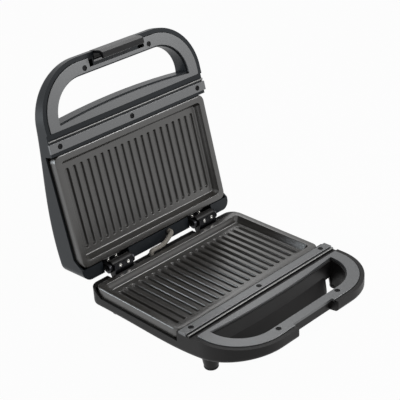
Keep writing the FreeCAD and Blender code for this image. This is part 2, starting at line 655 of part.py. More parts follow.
def griddle_plate():
    """Cast plate: a rim round a sunk floor with grooves, and pillars below for the pan."""
    body = new_body("GriddlePlate")
    outline = rectangle(body, "PlateOutline", "plate_width", "plate_depth", y=PLATE_Y, z=PLATE_LOW)
    slab = feature(body, "Pad", "PlateSlab", outline, "plate_height")
    corners = soften(body, "PlateCorners", slab, upright, "plate_corner")
    rim_z = size("deck_height") - size("plate_drop")

    def at_rim(edge):
        return edge.BoundBox.ZMin > rim_z - 0.01

    soften(body, "PlateEdge", corners, at_rim, "plate_edge")
    inner = rectangle(
        body, "RecessOutline", "plate_width - 2 * plate_rim", "plate_depth - 2 * plate_rim",
        y=PLATE_Y, z=PLATE_TOP)
    recess = feature(body, "Pocket", "Recess", inner, "recess_depth")
    reach = size("plate_width") / 2 - size("plate_rim") + 0.01

    def recess_corner(edge):
        middle = edge.CenterOfMass
        return upright(edge) and abs(middle.x) < reach and middle.z > size("deck_height") - 20

    recess_corners = soften(body, "RecessCorners", recess, recess_corner, "recess_corner")

    def at_recess(edge):
        return at_rim(edge) and abs(edge.CenterOfMass.x) < reach and edge.BoundBox.XMax < reach

    soften(body, "RimEdge", recess_corners, at_recess, "rim_edge")
    mouth = groove_sketch(
        body, "GrooveMouth", "groove_width", "groove_length",
        "0 - groove_pitch * ( groove_count - 1 ) / 2", PLATE_Y, PLATE_TOP + " - recess_depth")
    groove = feature(body, "Pocket", "Groove", mouth, "groove_depth")
    groove.TaperAngle = 0
    groove.setExpression("TaperAngle", "0 - " + bound("groove_taper"))
    doc.recompute()
    grooves = body.newObject("PartDesign::LinearPattern", "Grooves")
    grooves.Originals = [groove]
    grooves.Direction = (mouth, ["H_Axis"])
    grooves.setExpression("Length", bound("groove_pitch * ( groove_count - 1 )"))
    grooves.setExpression("Occurrences", bound("groove_count"))
    body.Tip = grooves
    doc.recompute()
    posts = circles(
        body, "PillarCircles", "pillar_radius", "pillar_span_x", "pillar_span_y",
        y=PLATE_Y, z=PLATE_LOW)
    pillars = feature(
        body, "Pad", "Pillars", posts, "seat_gap + pan_height - pan_sheet - seat_gap / 2",
        reverse=True)
    bores = circles(
        body, "PillarBores", "screw_radius + screw_fit", "pillar_span_x", "pillar_span_y",
        y=PLATE_Y, z=PLATE_LOW + " - seat_gap - pan_height")
    feature(body, "Pocket", "Bores", bores, "screw_length - 1 + screw_fit", reverse=True)
    return body


# ---------------------------------------------------------------- strips, rods and covers


def front_strip():
    """Flat bar across the front of the plate, with three sunk screw holes."""
    body = new_body("FrontStrip")
    outline = rectangle(
        body, "StripOutline", "casing_width + 2 * strip_overhang", "strip_width",
        y=STRIP_MID, z="deck_height - strip_thickness")
    bar = feature(body, "Pad", "StripBar", outline, "strip_thickness")

    def on_top(edge):
        return edge.BoundBox.ZMin > DECK - 0.01

    soften(body, "StripEdges", bar, on_top, "edge_rounding")
    holes = row(
        body, "StripHoles", "screw_radius + screw_fit", STRIP_SPAN,
        y=STRIP_MID, z="deck_height")
    feature(body, "Pocket", "StripBores", holes, "strip_thickness + 1")
    sinks = row(
        body, "StripSinks", "head_radius + 4 * screw_fit", STRIP_SPAN,
        y=STRIP_MID, z="deck_height")
    feature(body, "Pocket", "StripSeats", sinks, "head_sink + head_height")
    return body


def handle_cover(notch_half, notch_front, notch_rear):
    """D-shaped ring round the finger hole, sunk screw holes, and a notch in its front edge."""
    ring = prism(cover_plan(0), DECK - size("cover_thickness"), DECK)
    upper = [edge for edge in ring.Edges if edge.BoundBox.ZMin > DECK - 0.01]
    ring = rounded(ring, upper, size("edge_rounding"))
    ring = ring.cut(prism(hole_plan(0), 0, DECK + 1))
    ring = ring.cut(block(-notch_half, notch_half, notch_front, notch_rear, 0, DECK + 1))
    for x in (-size("cover_screw_span") / 2, size("cover_screw_span") / 2):
        centre = Vector(x, COVER_SCREW_Y, 0)
        up = Vector(0, 0, 1)
        ring = ring.cut(Part.makeCylinder(size("screw_radius") + size("screw_fit"), DECK + 1, centre, up))
        seat = Vector(x, COVER_SCREW_Y, HEAD_SEAT_Z)
        ring = ring.cut(Part.makeCylinder(size("head_radius") + 4 * size("screw_fit"), 10, seat, up))
    return ring


def screw(seat, direction, shank, length, head, head_height):
    """A pan-head screw: `seat` is where the head bears, `direction` points to its tip."""
    body = rod(seat, seat + direction * length, shank)
    top = rod(seat, seat - direction * head_height, head)
    rim = [edge for edge in top.Edges if abs((edge.CenterOfMass - seat).Length - head_height) < 0.01]
    cap = rounded(top, rim, head_height * 0.45)
    slot = Part.makeBox(head, head * 0.28, head_height * 0.8)
    slot.translate(Vector(-head / 2, -head * 0.14, head_height * 0.55))
    slot.Placement = Placement(seat, Rotation(Vector(0, 0, 1), -direction)).multiply(slot.Placement)
    return body.fuse(cap).removeSplitter().cut(slot)


def casing_screw(seat, direction):
    """One of the screws that hold the covers, strips and pans."""
    return screw(
        seat, direction, size("screw_radius"), size("screw_length"),
        size("head_radius"), size("head_height"))


def group(shapes):
    """Several separate solids in one piece."""
    return Part.makeCompound(shapes)


def strip_screw_places():
    """Where the front strip's screws stand."""
    half = HALF - size("strip_screw_inset")
    return [Vector(x, STRIP_Y, HEAD_SEAT_Z) for x in (-half, 0, half)]


def cover_screw_places():
    """Where the handle cover's screws stand."""
    half = size("cover_screw_span") / 2
    return [Vector(x, COVER_SCREW_Y, HEAD_SEAT_Z) for x in (-half, half)]


def pan_screw_places():
    """Where the pan's screws stand, under its floor."""
    half_x = size("pillar_span_x") / 2
    half_y = size("pillar_span_y") / 2
    return [
        Vector(x, PLATE_MIDDLE + y, PAN_BOTTOM)
        for x in (-half_x, half_x) for y in (-half_y, half_y)
    ]


# ---------------------------------------------------------------- casings


def base_blank(inset):
    """The base casing's outline filled, `inset` in from outside. Its underside is one smooth
    sweep, from the thin handle down to the rear."""
    face = plan(
        HALF - inset, CASING_FRONT + inset, BASE_REAR - inset,
        FRONT_CORNER - inset, size("rear_corner_radius") - inset)
    solid = prism(face, 0, DECK - size("rim_drop"))
    front = DECK - size("base_front_height") + inset
    middle = DECK - size("base_strip_height") + inset
    rear = DECK - size("base_rear_height") + inset
    slope = (middle - front) / (STRIP_Y - CASING_FRONT)
    ahead = CASING_FRONT - 5
    behind = BASE_REAR + 5
    sweep = Part.BSplineCurve()
    sweep.interpolate([
        Vector(0, ahead, front - 5 * slope), Vector(0, CASING_FRONT, front), Vector(0, STRIP_Y, middle),
        Vector(0, PLATE_MIDDLE, (middle + rear) / 2), Vector(0, behind, rear),
    ])
    tail = [Vector(0, behind, rear), Vector(0, behind, -5), Vector(0, ahead, -5),
            Vector(0, ahead, front - 5 * slope)]
    edges = [sweep.toShape()] + [Part.makeLine(a, b) for a, b in zip(tail, tail[1:])]
    under = across(edges, HALF + 5)
    solid = solid.cut(under)
    low = [
        face for face in solid.Faces
        if face.normalAt(*face.Surface.parameter(face.CenterOfMass)).z < -0.9
    ]
    return rounded(solid, once_only(low), size("base_edge_radius") - inset)


def belly_wire(half, front_side, front_middle, rear, z):
    """Four-sided outline of the belly at one height, its front side bowed forward."""
    left = Vector(-half, front_side, z)
    right = Vector(half, front_side, z)
    back_right = Vector(half, rear, z)
    back_left = Vector(-half, rear, z)
    return Part.Wire([
        arc(left, Vector(0, front_middle, z), right),
        Part.makeLine(right, back_right),
        Part.makeLine(back_right, back_left),
        Part.makeLine(back_left, left),
    ])


def belly(inset):
    """Tapered box under the plate with round corners, `inset` in from its outside."""
    half = HALF - size("belly_inset") - inset
    step = size("belly_setback") - size("hole_step") + inset
    side = HOLE_REAR_SIDE + step
    middle = HOLE_REAR_MIDDLE + step
    rear = BASE_REAR - size("belly_rear") - inset
    slope = size("belly_slope")
    flare = size("belly_flare")
    floor = DECK - size("belly_height") + inset
    top = DECK - size("lip_drop") - size("casing_wall")
    lean = size("belly_lean")
    low = belly_wire(half, side - lean, middle - lean, rear - slope, floor)
    high = belly_wire(half + flare, side, middle, rear, top)
    solid = Part.makeLoft([low, high], True, True)
    posts = [
        edge for edge in solid.Edges
        if abs(edge.Vertexes[0].Z - edge.Vertexes[-1].Z) > 1
    ]
    solid = rounded(solid, posts, size("belly_corner") - inset)
    bottom = [edge for edge in solid.Edges if edge.BoundBox.ZMax < floor + 0.01]
    return rounded(solid, bottom, size("belly_edge") - inset)


def lid_blank(inset):
    """The lid casing's outline filled, written like the base's: its outside is down here.
    Its top is one smooth sweep from the handle to the crown, then falls away to the rear."""
    face = plan(HALF - inset, CASING_FRONT + inset, LID_REAR + 20, FRONT_CORNER - inset, 5)
    solid = prism(face, -20, DECK - size("rim_drop"))
    fall = (size("lid_strip_height") - size("lid_front_height")) / (COVER_REAR - CASING_FRONT)
    ahead = 5.0

    def point(y, height):
        return Vector(0, y, DECK - height + inset)

    start = point(CASING_FRONT - ahead, size("lid_front_height") - ahead * fall)
    crown = point(HINGE_Y - size("lid_crown_setback"), size("lid_rear_height"))
    sweep = Part.BSplineCurve()
    sweep.interpolate([
        start,
        point(CASING_FRONT, size("lid_front_height")),
        point(COVER_REAR, size("lid_strip_height")),
        point(PLATE_MIDDLE - size("lid_middle_offset"), size("lid_middle_height")),
        crown,
    ])
    back = Vector(0, HINGE_Y - size("lid_back_setback") - inset * 0.8,
                  DECK - size("lid_back_height") + inset * 0.6)
    rear = Vector(0, LID_REAR - inset, LID_LEDGE_Z)
    foot = rear + (rear - back) * ((DECK - rear.z) / (rear.z - back.z))
    tail = [crown, back, foot, Vector(0, CASING_FRONT - ahead, DECK), start]
    edges = [sweep.toShape()] + [Part.makeLine(a, b) for a, b in zip(tail, tail[1:])]
    solid = solid.common(across(edges, HALF + 5))
    corners = [
        edge for edge in solid.Edges
        if edge.CenterOfMass.y > HINGE_Y - size("lid_back_setback") - 5
        and abs(edge.CenterOfMass.x) > HALF - inset - 0.01
        and edge.BoundBox.ZLength > 20
    ]
    solid = rounded(solid, corners, size("lid_rear_corner") - inset)
    low = [
        face for face in solid.Faces
        if face.CenterOfMass.z < DECK - size("lid_front_height") + inset
        and face.normalAt(*face.Surface.parameter(face.CenterOfMass)).z < -0.5
    ]
    crown_y = HINGE_Y - size("lid_crown_setback")
    swept = [edge for edge in once_only(low) if edge.CenterOfMass.y < crown_y]
    return rounded(solid, swept, size("lid_edge_radius") - inset)


def hollow(outer, inner, rear, ledge):
    """A casing made of the filled shape `outer`, hollowed by `inner`, with its open plate bay,
    the handle ring with its ledge and hole wall, the deck and the rear ledge at that height.
    The lip beside the plate rises to the rear ledge and so wraps round the plate's corners."""
    wall = size("casing_wall")
    far = HALF + 10
    lip = DECK - size("lip_drop")
    above_lip = across(polygon_edges([
        (STEP_Y, lip), (LEDGE_FRONT - size("lip_run"), lip), (LEDGE_FRONT, ledge),
        (rear + 20, ledge), (rear + 20, DECK + 5), (STEP_Y, DECK + 5),
    ]), far)
    body = outer.cut(above_lip)
    deck_cut = block(-far, far, COVER_REAR + size("cover_fit"), STEP_Y + 1,
                     DECK - size("strip_thickness"), DECK + 5)
    body = body.cut(deck_cut)
    low = -60
    zones = [
        block(-far, far, CASING_FRONT - 5, STEP_Y - wall, low, CEILING_Z),
        block(-far, far, CASING_FRONT - 5, rear + 5, low, PLATE_BOTTOM - SEAT),
        block(-far, far, LEDGE_FRONT + wall, rear + 5, low, ledge - wall),
        block(-far, far, STEP_Y, LEDGE_FRONT, low, DECK + 5),
    ]
    plate_bay = prism(
        plan(HALF - wall, CASING_FRONT, BASE_REAR - wall, 5, size("rear_corner_radius") - wall),
        PLATE_BOTTOM - SEAT, DECK + 5).common(zones[3])
    for zone in zones:
        body = body.cut(inner.common(zone))
    body = body.cut(plate_bay)
    opening = prism(cover_plan(-size("cover_ledge")), CEILING_Z - 1, DECK)
    pocket = prism(cover_plan(size("cover_fit")), DECK - size("cover_thickness"), DECK + 5)
    body = body.cut(opening).cut(pocket)
    ring_outside = hole_plan(size("hole_wall") - size("hole_step"))
    ring = prism(ring_outside, low, DECK - size("cover_thickness"))
    body = body.fuse(ring.common(outer))
    return body


def add_bosses(body, outer):
    """Screw bosses under the strip and the cover, each with its bore."""
    places = strip_screw_places() + cover_screw_places()
    down = Vector(0, 0, -1)
    depth = size("screw_length") + 2.0
    for place in places:
        top = Vector(place.x, place.y, DECK - size("strip_thickness"))
        boss = Part.makeCylinder(size("boss_radius"), depth + 1.5, top, down).common(outer)
        body = body.fuse(boss)
    for place in places:
        bore_depth = size("screw_length") + size("seat_gap")
        radius = size("screw_radius") + size("screw_fit")
        body = body.cut(Part.makeCylinder(radius, bore_depth, place, down))
    return body


def add_ribs(body, outer):
    """Ribs on the side walls that the griddle plate rests on."""
    top = PLATE_BOTTOM - SEAT / 2
    for y in (PLATE_FRONT + 18, PLATE_MIDDLE, PLATE_REAR - 18):
        for side in (-1, 1):
            inner_x = side * (HALF - size("casing_wall") - 6)
            outer_x = side * (HALF - 0.8)
            rib = block(min(inner_x, outer_x), max(inner_x, outer_x), y - 2, y + 2, -60, top)
            body = body.fuse(rib.common(outer))
    return body


def hinge_bays(body, outer, rear, depth, ledge):
    """Windows through the rear ledge for the hinges, each with a floor and end walls."""
    wall = size("casing_wall")
    floor = HINGE_Z - depth
    for side in (-1, 1):
        x = side * HINGE_X
        lining = block(x - WINDOW_HALF - wall, x + WINDOW_HALF + wall,
                       LEDGE_FRONT, rear + 20, floor - wall, ledge)
        body = body.fuse(lining.common(outer))
        window = block(x - WINDOW_HALF, x + WINDOW_HALF, LEDGE_FRONT - 1, rear + 20, floor, DECK + 5)
        body = body.cut(window)
    return body


def hinge_post(x):
    """Post and knuckle of the base's hinge about x, before its slot is cut."""
    half = size("knuckle_width") / 2
    radius = size("knuckle_radius")
    front = HINGE_Y - size("post_front")
    floor = HINGE_Z - size("window_drop")
    outline = polygon_edges([
        (front, floor - 1), (BASE_REAR, floor - 1), (BASE_REAR, floor),
        (HINGE_Y + radius * 0.93, HINGE_Z - radius * 0.36), (HINGE_Y, HINGE_Z + 1),
        (front, HINGE_Z + 1),
    ])
    post = across(outline, half)
    post.translate(Vector(x, 0, 0))
    top = HINGE_Z + size("hinge_float")
    axis = Vector(1, 0, 0)
    lower = Part.makeCylinder(radius, 2 * half, Vector(x - half, HINGE_Y, HINGE_Z), axis)
    upper = Part.makeCylinder(radius, 2 * half, Vector(x - half, HINGE_Y, top), axis)
    between = block(x - half, x + half, HINGE_Y - radius, HINGE_Y + radius, HINGE_Z, top)
    front_fill = block(x - half, x + half, front, HINGE_Y, HINGE_Z - 1, top)
    return fused([post, lower, upper, between, front_fill])


def pin_slot(x):
    """The knuckle's slot, in which the pin can rise."""
    radius = size("pin_radius") + size("pin_fit")
    half = size("knuckle_width") / 2 + 1
    top = HINGE_Z + size("hinge_float")
    axis = Vector(1, 0, 0)
    lower = Part.makeCylinder(radius, 2 * half, Vector(x - half, HINGE_Y, HINGE_Z), axis)
    upper = Part.makeCylinder(radius, 2 * half, Vector(x - half, HINGE_Y, top), axis)
    between = block(x - half, x + half, HINGE_Y - radius, HINGE_Y + radius, HINGE_Z, top)
    return fused([lower, upper, between])


def hinge_screw_places(x):
    """Where the hinge plate's two screws stand, on its front."""
    front = HINGE_Y - size("post_front") - SEAT / 2 - size("plate_sheet")
    half = size("hinge_screw_span") / 2
    return [Vector(x + dx, front, HINGE_Z + size("hinge_screw_rise")) for dx in (-half, half)]


def foot_places():
    """Centres of the four feet."""
    front_y = COVER_REAR - size("foot_front")
    rear_y = HINGE_Y - size("foot_rear")
    front = [Vector(side * (HALF - size("foot_inset_front")), front_y, 0) for side in (-1, 1)]
    rear = [Vector(side * (HALF - size("foot_inset_rear")), rear_y, 0) for side in (-1, 1)]
    return front, rear


def base_casing():
    """Base moulding with belly, feet, hinge posts, latch bar and the holes for wire and cord."""
    wall = size("casing_wall")
    outer = base_blank(0).fuse(belly(0))
    inner = base_blank(wall).fuse(belly(wall))
    body = hollow(outer, inner, BASE_REAR, BASE_LEDGE_Z)
    below_plate = block(-HALF, HALF, CASING_FRONT, BASE_REAR, 0, PLATE_BOTTOM - SEAT)
    body = body.cut(belly(wall).common(below_plate))
    body = add_ribs(body, outer)
    body = add_bosses(body, outer)
    front, rear = foot_places()
    for place in front + rear:
        bottom = Vector(place.x, place.y, size("pad_height"))
        height = DECK - size("lip_drop") - size("pad_height")
        pad = size("pad_radius")
        cone = Part.makeCone(pad, pad + size("foot_flare"), height, bottom)
        body = body.fuse(cone.cut(inner))
    for place in front + rear:
        radius = size("pad_stem_radius") + size("screw_fit")
        bottom = Vector(place.x, place.y, size("pad_height"))
        body = body.cut(Part.makeCylinder(radius, size("pad_stem") + SEAT, bottom))
    body = latch_bar(body, outer)
    body = hinge_bays(body, outer, BASE_REAR, size("window_drop"), BASE_LEDGE_Z)
    for side in (-1, 1):
        x = side * HINGE_X
        body = body.fuse(hinge_post(x)).cut(pin_slot(x))
        for place in hinge_screw_places(x):
            radius = size("hinge_screw_radius") + size("screw_fit")
            tip = place + Vector(0, size("hinge_screw_length") + 0.1, 0)
            body = body.cut(rod(place, tip, radius))
    hole = grommet_radius() + size("screw_fit")
    body = body.cut(Part.makeCylinder(hole, 12, Vector(size("sleeve_base_x"), SLEEVE_Y, BASE_LEDGE_Z - 6)))
    bush = size("inlet_radius") + size("inlet_wall") + size("screw_fit")
    body = body.cut(Part.makeCylinder(bush, 20, Vector(INLET_X, BASE_REAR - 6, INLET_Z),
                                      Vector(0, 1, 0)))
    grip = prism(hole_plan(-size("hole_step")), -60, DECK + 5).cut(belly(0))
    return body.cut(grip).removeSplitter()


def latch_bar(body, outer):
    """The base handle's front where the latch hooks on: a solid bar with a lip on top."""
    half = size("bar_notch_width") / 2
    wall = size("casing_wall")
    lip_front = COVER_FRONT + size("bar_lip")
    bar_front = lip_front + size("bar_undercut")
    top = DECK - size("cover_thickness")
    rear = HOLE_FRONT
    solid = block(-half - wall, half + wall, bar_front, rear, 0, top).common(outer)
    ends = block(-half - wall, half + wall, CASING_FRONT, bar_front + 1, 0, top).common(outer)
    lip = block(-half, half, lip_front, bar_front + 1, DECK - size("bar_lip_depth"), top)
    body = body.fuse(solid).fuse(ends)
    body = body.cut(block(-half, half, CASING_FRONT - 5, bar_front, -5, DECK + 5))
    return body.fuse(lip)


def lid_casing():
    """Lid moulding, written like the base's and then mirrored into place."""
    wall = size("casing_wall")
    outer = lid_blank(0)
    inner = lid_blank(wall)
    body = hollow(outer, inner, LID_REAR, LID_LEDGE_Z)
    body = add_ribs(body, outer)
    body = add_bosses(body, outer)
    body = hinge_bays(body, outer, LID_REAR, size("lid_window_rise"), LID_LEDGE_Z)
    half = size("latch_width") / 2 + size("latch_side_fit")
    cheek = 2.0
    bay_rear = CASING_FRONT + size("latch_bay")
    cheeks = block(-half - cheek, half + cheek, CASING_FRONT, HOLE_FRONT, -60,
                   DECK - size("cover_thickness")).common(outer)
    body = body.fuse(cheeks)
    body = body.cut(block(-half, half, CASING_FRONT - 5, bay_rear, -60, DECK + 5))
    pin = size("latch_pin_radius") + size("screw_fit") / 2
    body = body.cut(rod(
        Vector(-half - cheek - 1, LATCH_PIN_Y, LATCH_PIN_Z),
        Vector(half + cheek + 1, LATCH_PIN_Y, LATCH_PIN_Z), pin))
    hole = grommet_radius() + size("screw_fit")
    body = body.cut(Part.makeCylinder(hole, 12, Vector(size("sleeve_lid_x"), SLEEVE_Y, LID_LEDGE_Z - 6)))
    lens = size("lamp_radius") + size("screw_fit")
    for x in lamp_places():
        body = body.cut(Part.makeCylinder(lens, 40, Vector(x, LAMP_Y, DECK - 50)))
    thread = size("hinge_screw_radius") + size("screw_fit")
    for side in (-1, 1):
        for place in arm_screw_places(side * HINGE_X):
            tip = place - Vector(0, 0, size("hinge_screw_length") + 0.1)
            body = body.cut(rod(place, tip, thread))
    return body.cut(prism(hole_plan(-size("hole_step")), -60, DECK + 5)).removeSplitter()


# ---------------------------------------------------------------- small pieces


def grommet_radius():
    """Outside of the wire sleeve's grommets."""
    return size("sleeve_radius") + 1.5 * SEAT + size("grommet_wall")


def lamp_places():
    """Where the two lenses stand, across."""
    half = size("lamp_spacing") / 2
    return [size("lamp_centre") - half, size("lamp_centre") + half]


def foot_pads(places):
    """Rubber pads with rounded lower edges and a stem up into the foot."""
    pads = []
    for place in places:
        disc = Part.makeCylinder(size("pad_radius"), size("pad_height"), place)
        low = [edge for edge in disc.Edges if edge.BoundBox.ZMax < 0.01]
        disc = rounded(disc, low, size("pad_rounding"))
        stem = Part.makeCylinder(size("pad_stem_radius"), size("pad_height") + size("pad_stem") - 1,
                                 place + Vector(0, 0, 1))
        pads.append(disc.fuse(stem).removeSplitter())
    return group(pads)


def grommet(x, ledge):
    """Flanged ring in the rear ledge at that height, round the wire sleeve."""
    outer = grommet_radius()
    skin = size("casing_wall")
    flange = outer + size("grommet_collar")
    bottom = Vector(x, SLEEVE_Y, ledge - skin)
    barrel = Part.makeCylinder(outer, skin + 1, bottom)
    collar = Part.makeCylinder(flange, 1, Vector(x, SLEEVE_Y, ledge))
    bore = Part.makeCylinder(size("sleeve_radius") + 1.5 * SEAT, skin + 10, bottom - Vector(0, 0, 4))
    return barrel.fuse(collar).cut(bore).removeSplitter()


def inlet_bush():
    """Bush in the rear wall through which the mains cord would enter."""
    back = Vector(0, 1, 0)
    outer = size("inlet_radius") + size("inlet_wall")
    start = Vector(INLET_X, BASE_REAR - size("casing_wall") - 1.5, INLET_Z)
    barrel = Part.makeCylinder(outer, size("casing_wall") + 7.5, start, back)
    collar = Part.makeCylinder(outer + 1.5, 1.5, start, back)
    flange = Part.makeCylinder(outer + 1.5, 2, Vector(INLET_X, BASE_REAR, INLET_Z), back)
    bore = Part.makeCylinder(size("inlet_radius"), 30, start - back * 5, back)
    return barrel.fuse(collar).fuse(flange).cut(bore).removeSplitter()


def element():
    """U-shaped tube heater with a thin cold pin on each end."""
    half = size("element_span") / 2
    front = PLATE_MIDDLE - size("element_length") / 2
    rear = PLATE_MIDDLE + size("element_length") / 2
    radius = size("element_bend")
    z = ELEMENT_Z
    slant = radius * (1 - math.sqrt(0.5))
    path = Part.Wire([
        Part.makeLine(Vector(-half, front, z), Vector(-half, rear - radius, z)),
        arc(Vector(-half, rear - radius, z), Vector(-half + slant, rear - slant, z),
            Vector(-half + radius, rear, z)),
        Part.makeLine(Vector(-half + radius, rear, z), Vector(half - radius, rear, z)),
        arc(Vector(half - radius, rear, z), Vector(half - slant, rear - slant, z),
            Vector(half, rear - radius, z)),
        Part.makeLine(Vector(half, rear - radius, z), Vector(half, front, z)),
    ])
    ring = Part.Wire(Part.makeCircle(size("element_radius"), Vector(-half, front, z), Vector(0, 1, 0)))
    solid = path.makePipeShell([ring], True, False)
    for x in (-half, half):
        pin_end = Vector(x, front - size("element_pin_length"), z)
        solid = solid.fuse(rod(Vector(x, front + 1, z), pin_end, size("element_pin_radius")))
    return solid.removeSplitter()


def clamps():
    """Two flat bars under the element, pierced by the pan's pillars."""
    half = size("element_span") / 2 + size("element_radius") + 4
    top = ELEMENT_Z - size("element_radius")
    bars = []
    for side in (-1, 1):
        y = PLATE_MIDDLE + side * size("pillar_span_y") / 2
        width = size("clamp_width") / 2
        bar = block(-half, half, y - width, y + width, top - size("clamp_sheet"), top)
        for x in (-size("pillar_span_x") / 2, size("pillar_span_x") / 2):
            bar = bar.cut(Part.makeCylinder(size("pillar_radius") + SEAT, 20, Vector(x, y, top - 10)))
        bars.append(bar)
    return group(bars)


def pan():
    """Open tray under the element that sends its heat up into the plate."""
    half = size("pan_width") / 2
    front = PLATE_MIDDLE - size("pan_depth") / 2
    rear = PLATE_MIDDLE + size("pan_depth") / 2
    sheet_thickness = size("pan_sheet")
    radius = size("pan_corner")
    tray = prism(plan(half, front, rear, radius, radius), PAN_BOTTOM, PAN_TOP)
    inside = prism(
        plan(half - sheet_thickness, front + sheet_thickness, rear - sheet_thickness,
             radius - sheet_thickness, radius - sheet_thickness),
        PAN_BOTTOM + sheet_thickness, PAN_TOP + 5)
    tray = tray.cut(inside)
    for place in pan_screw_places():
        tray = tray.cut(Part.makeCylinder(size("screw_radius") + size("screw_fit"), 5,
                                          place - Vector(0, 0, 2)))
    for side in (-1, 1):
        start = Vector(side * size("element_span") / 2, front - 5, ELEMENT_Z)
        tray = tray.cut(rod(start, start + Vector(0, 10, 0), size("element_pin_radius") + 1))
    return tray


def pan_screws():
    """Short screws through the pan's floor into the plate's pillars."""
    up = Vector(0, 0, 1)
    return group([
        screw(place, up, size("screw_radius"), size("screw_length") - 1.5,
              size("head_radius"), size("head_height"))
        for place in pan_screw_places()
    ])


def base_leads():
    """Two insulated leads from the element's pins to the terminal block."""
    leads = []
    pin_y = PLATE_MIDDLE - size("element_length") / 2 - size("element_pin_length") - SEAT
    floor = DECK - size("belly_height") + size("casing_wall")
    for side in (-1, 1):
        x = side * size("element_span") / 2
        end = Vector(side * (size("terminal_width") / 2 + SEAT / 2), TERMINAL_Y, floor + 7)
        leads.append(tube([
            Vector(x, pin_y, ELEMENT_Z),
            Vector(x, pin_y - 14, ELEMENT_Z - 1),
            Vector(x - side * 22, TERMINAL_Y, floor + 7.5),
            end,
        ], size("lead_radius")))
    return group(leads)


def lid_leads():
    """Two insulated leads from the lid element's pins to the lamp holder."""
    pin_y = PLATE_MIDDLE - size("element_length") / 2 - size("element_pin_length") - SEAT
    half = size("element_span") / 2
    block_half = lamp_block_half()
    centre = size("lamp_centre")
    y = LAMP_Y - 3
    low = DECK - 12
    right = tube([
        Vector(half, pin_y, ELEMENT_Z),
        Vector(half, pin_y - 16, ELEMENT_Z + 2),
        Vector(half - 4, y, low - 1),
        Vector(centre + block_half + SEAT / 2, y, low),
    ], size("lead_radius"))
    left = tube([
        Vector(-half, pin_y, ELEMENT_Z),
        Vector(-half, pin_y - 16, ELEMENT_Z + 2),
        Vector(-half + 6, y, low - 2),
        Vector(centre - block_half - SEAT / 2, y, low),
    ], size("lead_radius"))
    return group([right, left])


def lamp_block_half():
    """Half the width of the lamp holder."""
    return size("lamp_spacing") / 2 + size("lamp_radius") + 3


def sleeve():
    """The sleeve round the wires: up out of the base's ledge, along it and into the open lid's."""
    start_x = size("sleeve_base_x")
    end_x = size("sleeve_lid_x")
    rest = BASE_LEDGE_Z + size("sleeve_radius") + size("sleeve_rest")
    lid_hole = LID_OPEN.multVec(Vector(end_x, SLEEVE_Y, 2 * HINGE_Z - LID_LEDGE_Z))
    out = LID_OPEN.Rotation.multVec(Vector(0, 0, 1))
    return tube([
        Vector(start_x, SLEEVE_Y, BASE_LEDGE_Z - size("casing_wall") - 2),
        Vector(start_x, SLEEVE_Y, rest),
        Vector(end_x - size("sleeve_slant"), SLEEVE_Y - 1, rest),
        lid_hole - out * 8,
        lid_hole + out * 5,
    ], size("sleeve_radius"), share=0.42)


def hinge_plate(x):
    """Steel plate screwed on the front of a hinge post."""
    half = size("knuckle_width") / 2
    rear = HINGE_Y - size("post_front") - SEAT / 2
    front = rear - size("plate_sheet")
    plate = block(x - half, x + half, front, rear,
                  HINGE_Z - size("window_drop") + SEAT / 2, HINGE_Z + size("hinge_plate_top"))
    for place in hinge_screw_places(x):
        radius = size("hinge_screw_radius") + size("screw_fit")
        plate = plate.cut(rod(place - Vector(0, 5, 0), place + Vector(0, 10, 0), radius))
    return plate


def hinge_screws():
    """Four bright screws in the two hinge plates."""
    back = Vector(0, 1, 0)
    places = hinge_screw_places(-HINGE_X) + hinge_screw_places(HINGE_X)
    return group([
        screw(place, back, size("hinge_screw_radius"), size("hinge_screw_length"),
              size("hinge_head_radius"), size("hinge_head_height"))
        for place in places
    ])


def hinge_arm(x):
    """The lid's hinge arm about x, written like the base: a crossbar and two ears with eyes."""
    radius = size("knuckle_radius")
    floor = HINGE_Z - size("lid_window_rise")
    bar_top = floor + size("arm_bar")
    rear = HINGE_Y - 2.6
    front = rear - size("arm_bar_depth")
    parts = [block(x - EAR_OUTER, x + EAR_OUTER, front, rear, floor, bar_top)]
    for side in (-1, 1):
        inner = x + side * EAR_INNER
        outer = x + side * EAR_OUTER
        start = min(inner, outer)
        outline = polygon_edges([
            (front, floor), (rear, floor), (HINGE_Y + radius * 0.93, HINGE_Z - radius * 0.36),
            (HINGE_Y, HINGE_Z), (HINGE_Y - radius * 0.98, HINGE_Z - radius * 0.2),
        ])
        ear = Part.Face(Part.Wire(outline)).extrude(Vector(size("ear_thickness"), 0, 0))
        ear.translate(Vector(start, 0, 0))
        eye = Part.makeCylinder(radius, size("ear_thickness"), Vector(start, HINGE_Y, HINGE_Z),
                                Vector(1, 0, 0))
        parts += [ear, eye]
    bore = rod(Vector(x - EAR_OUTER - 1, HINGE_Y, HINGE_Z), Vector(x + EAR_OUTER + 1, HINGE_Y, HINGE_Z),
               size("pin_radius") + size("pin_fit"))
    arm = fused(parts).cut(bore)
    for place in arm_screw_places(x):
        hole = size("hinge_screw_radius") + size("screw_fit")
        arm = arm.cut(rod(place + Vector(0, 0, 5), place - Vector(0, 0, 12), hole))
    return arm


def arm_screw_places(x):
    """Where a hinge arm's two screws stand, on its crossbar."""
    half = size("hinge_screw_span") / 2
    y = HINGE_Y - 2.6 - size("arm_bar_depth") / 2
    z = HINGE_Z - size("lid_window_rise") + size("arm_bar")
    return [Vector(x + dx, y, z) for dx in (-half, half)]


def arm_screws():
    """Four screws that hold the hinge arms in the lid."""
    places = arm_screw_places(-HINGE_X) + arm_screw_places(HINGE_X)
    return group([
        screw(place, Vector(0, 0, -1), size("hinge_screw_radius"), size("hinge_screw_length"),
              size("hinge_head_radius"), size("hinge_head_height"))
        for place in places
    ])


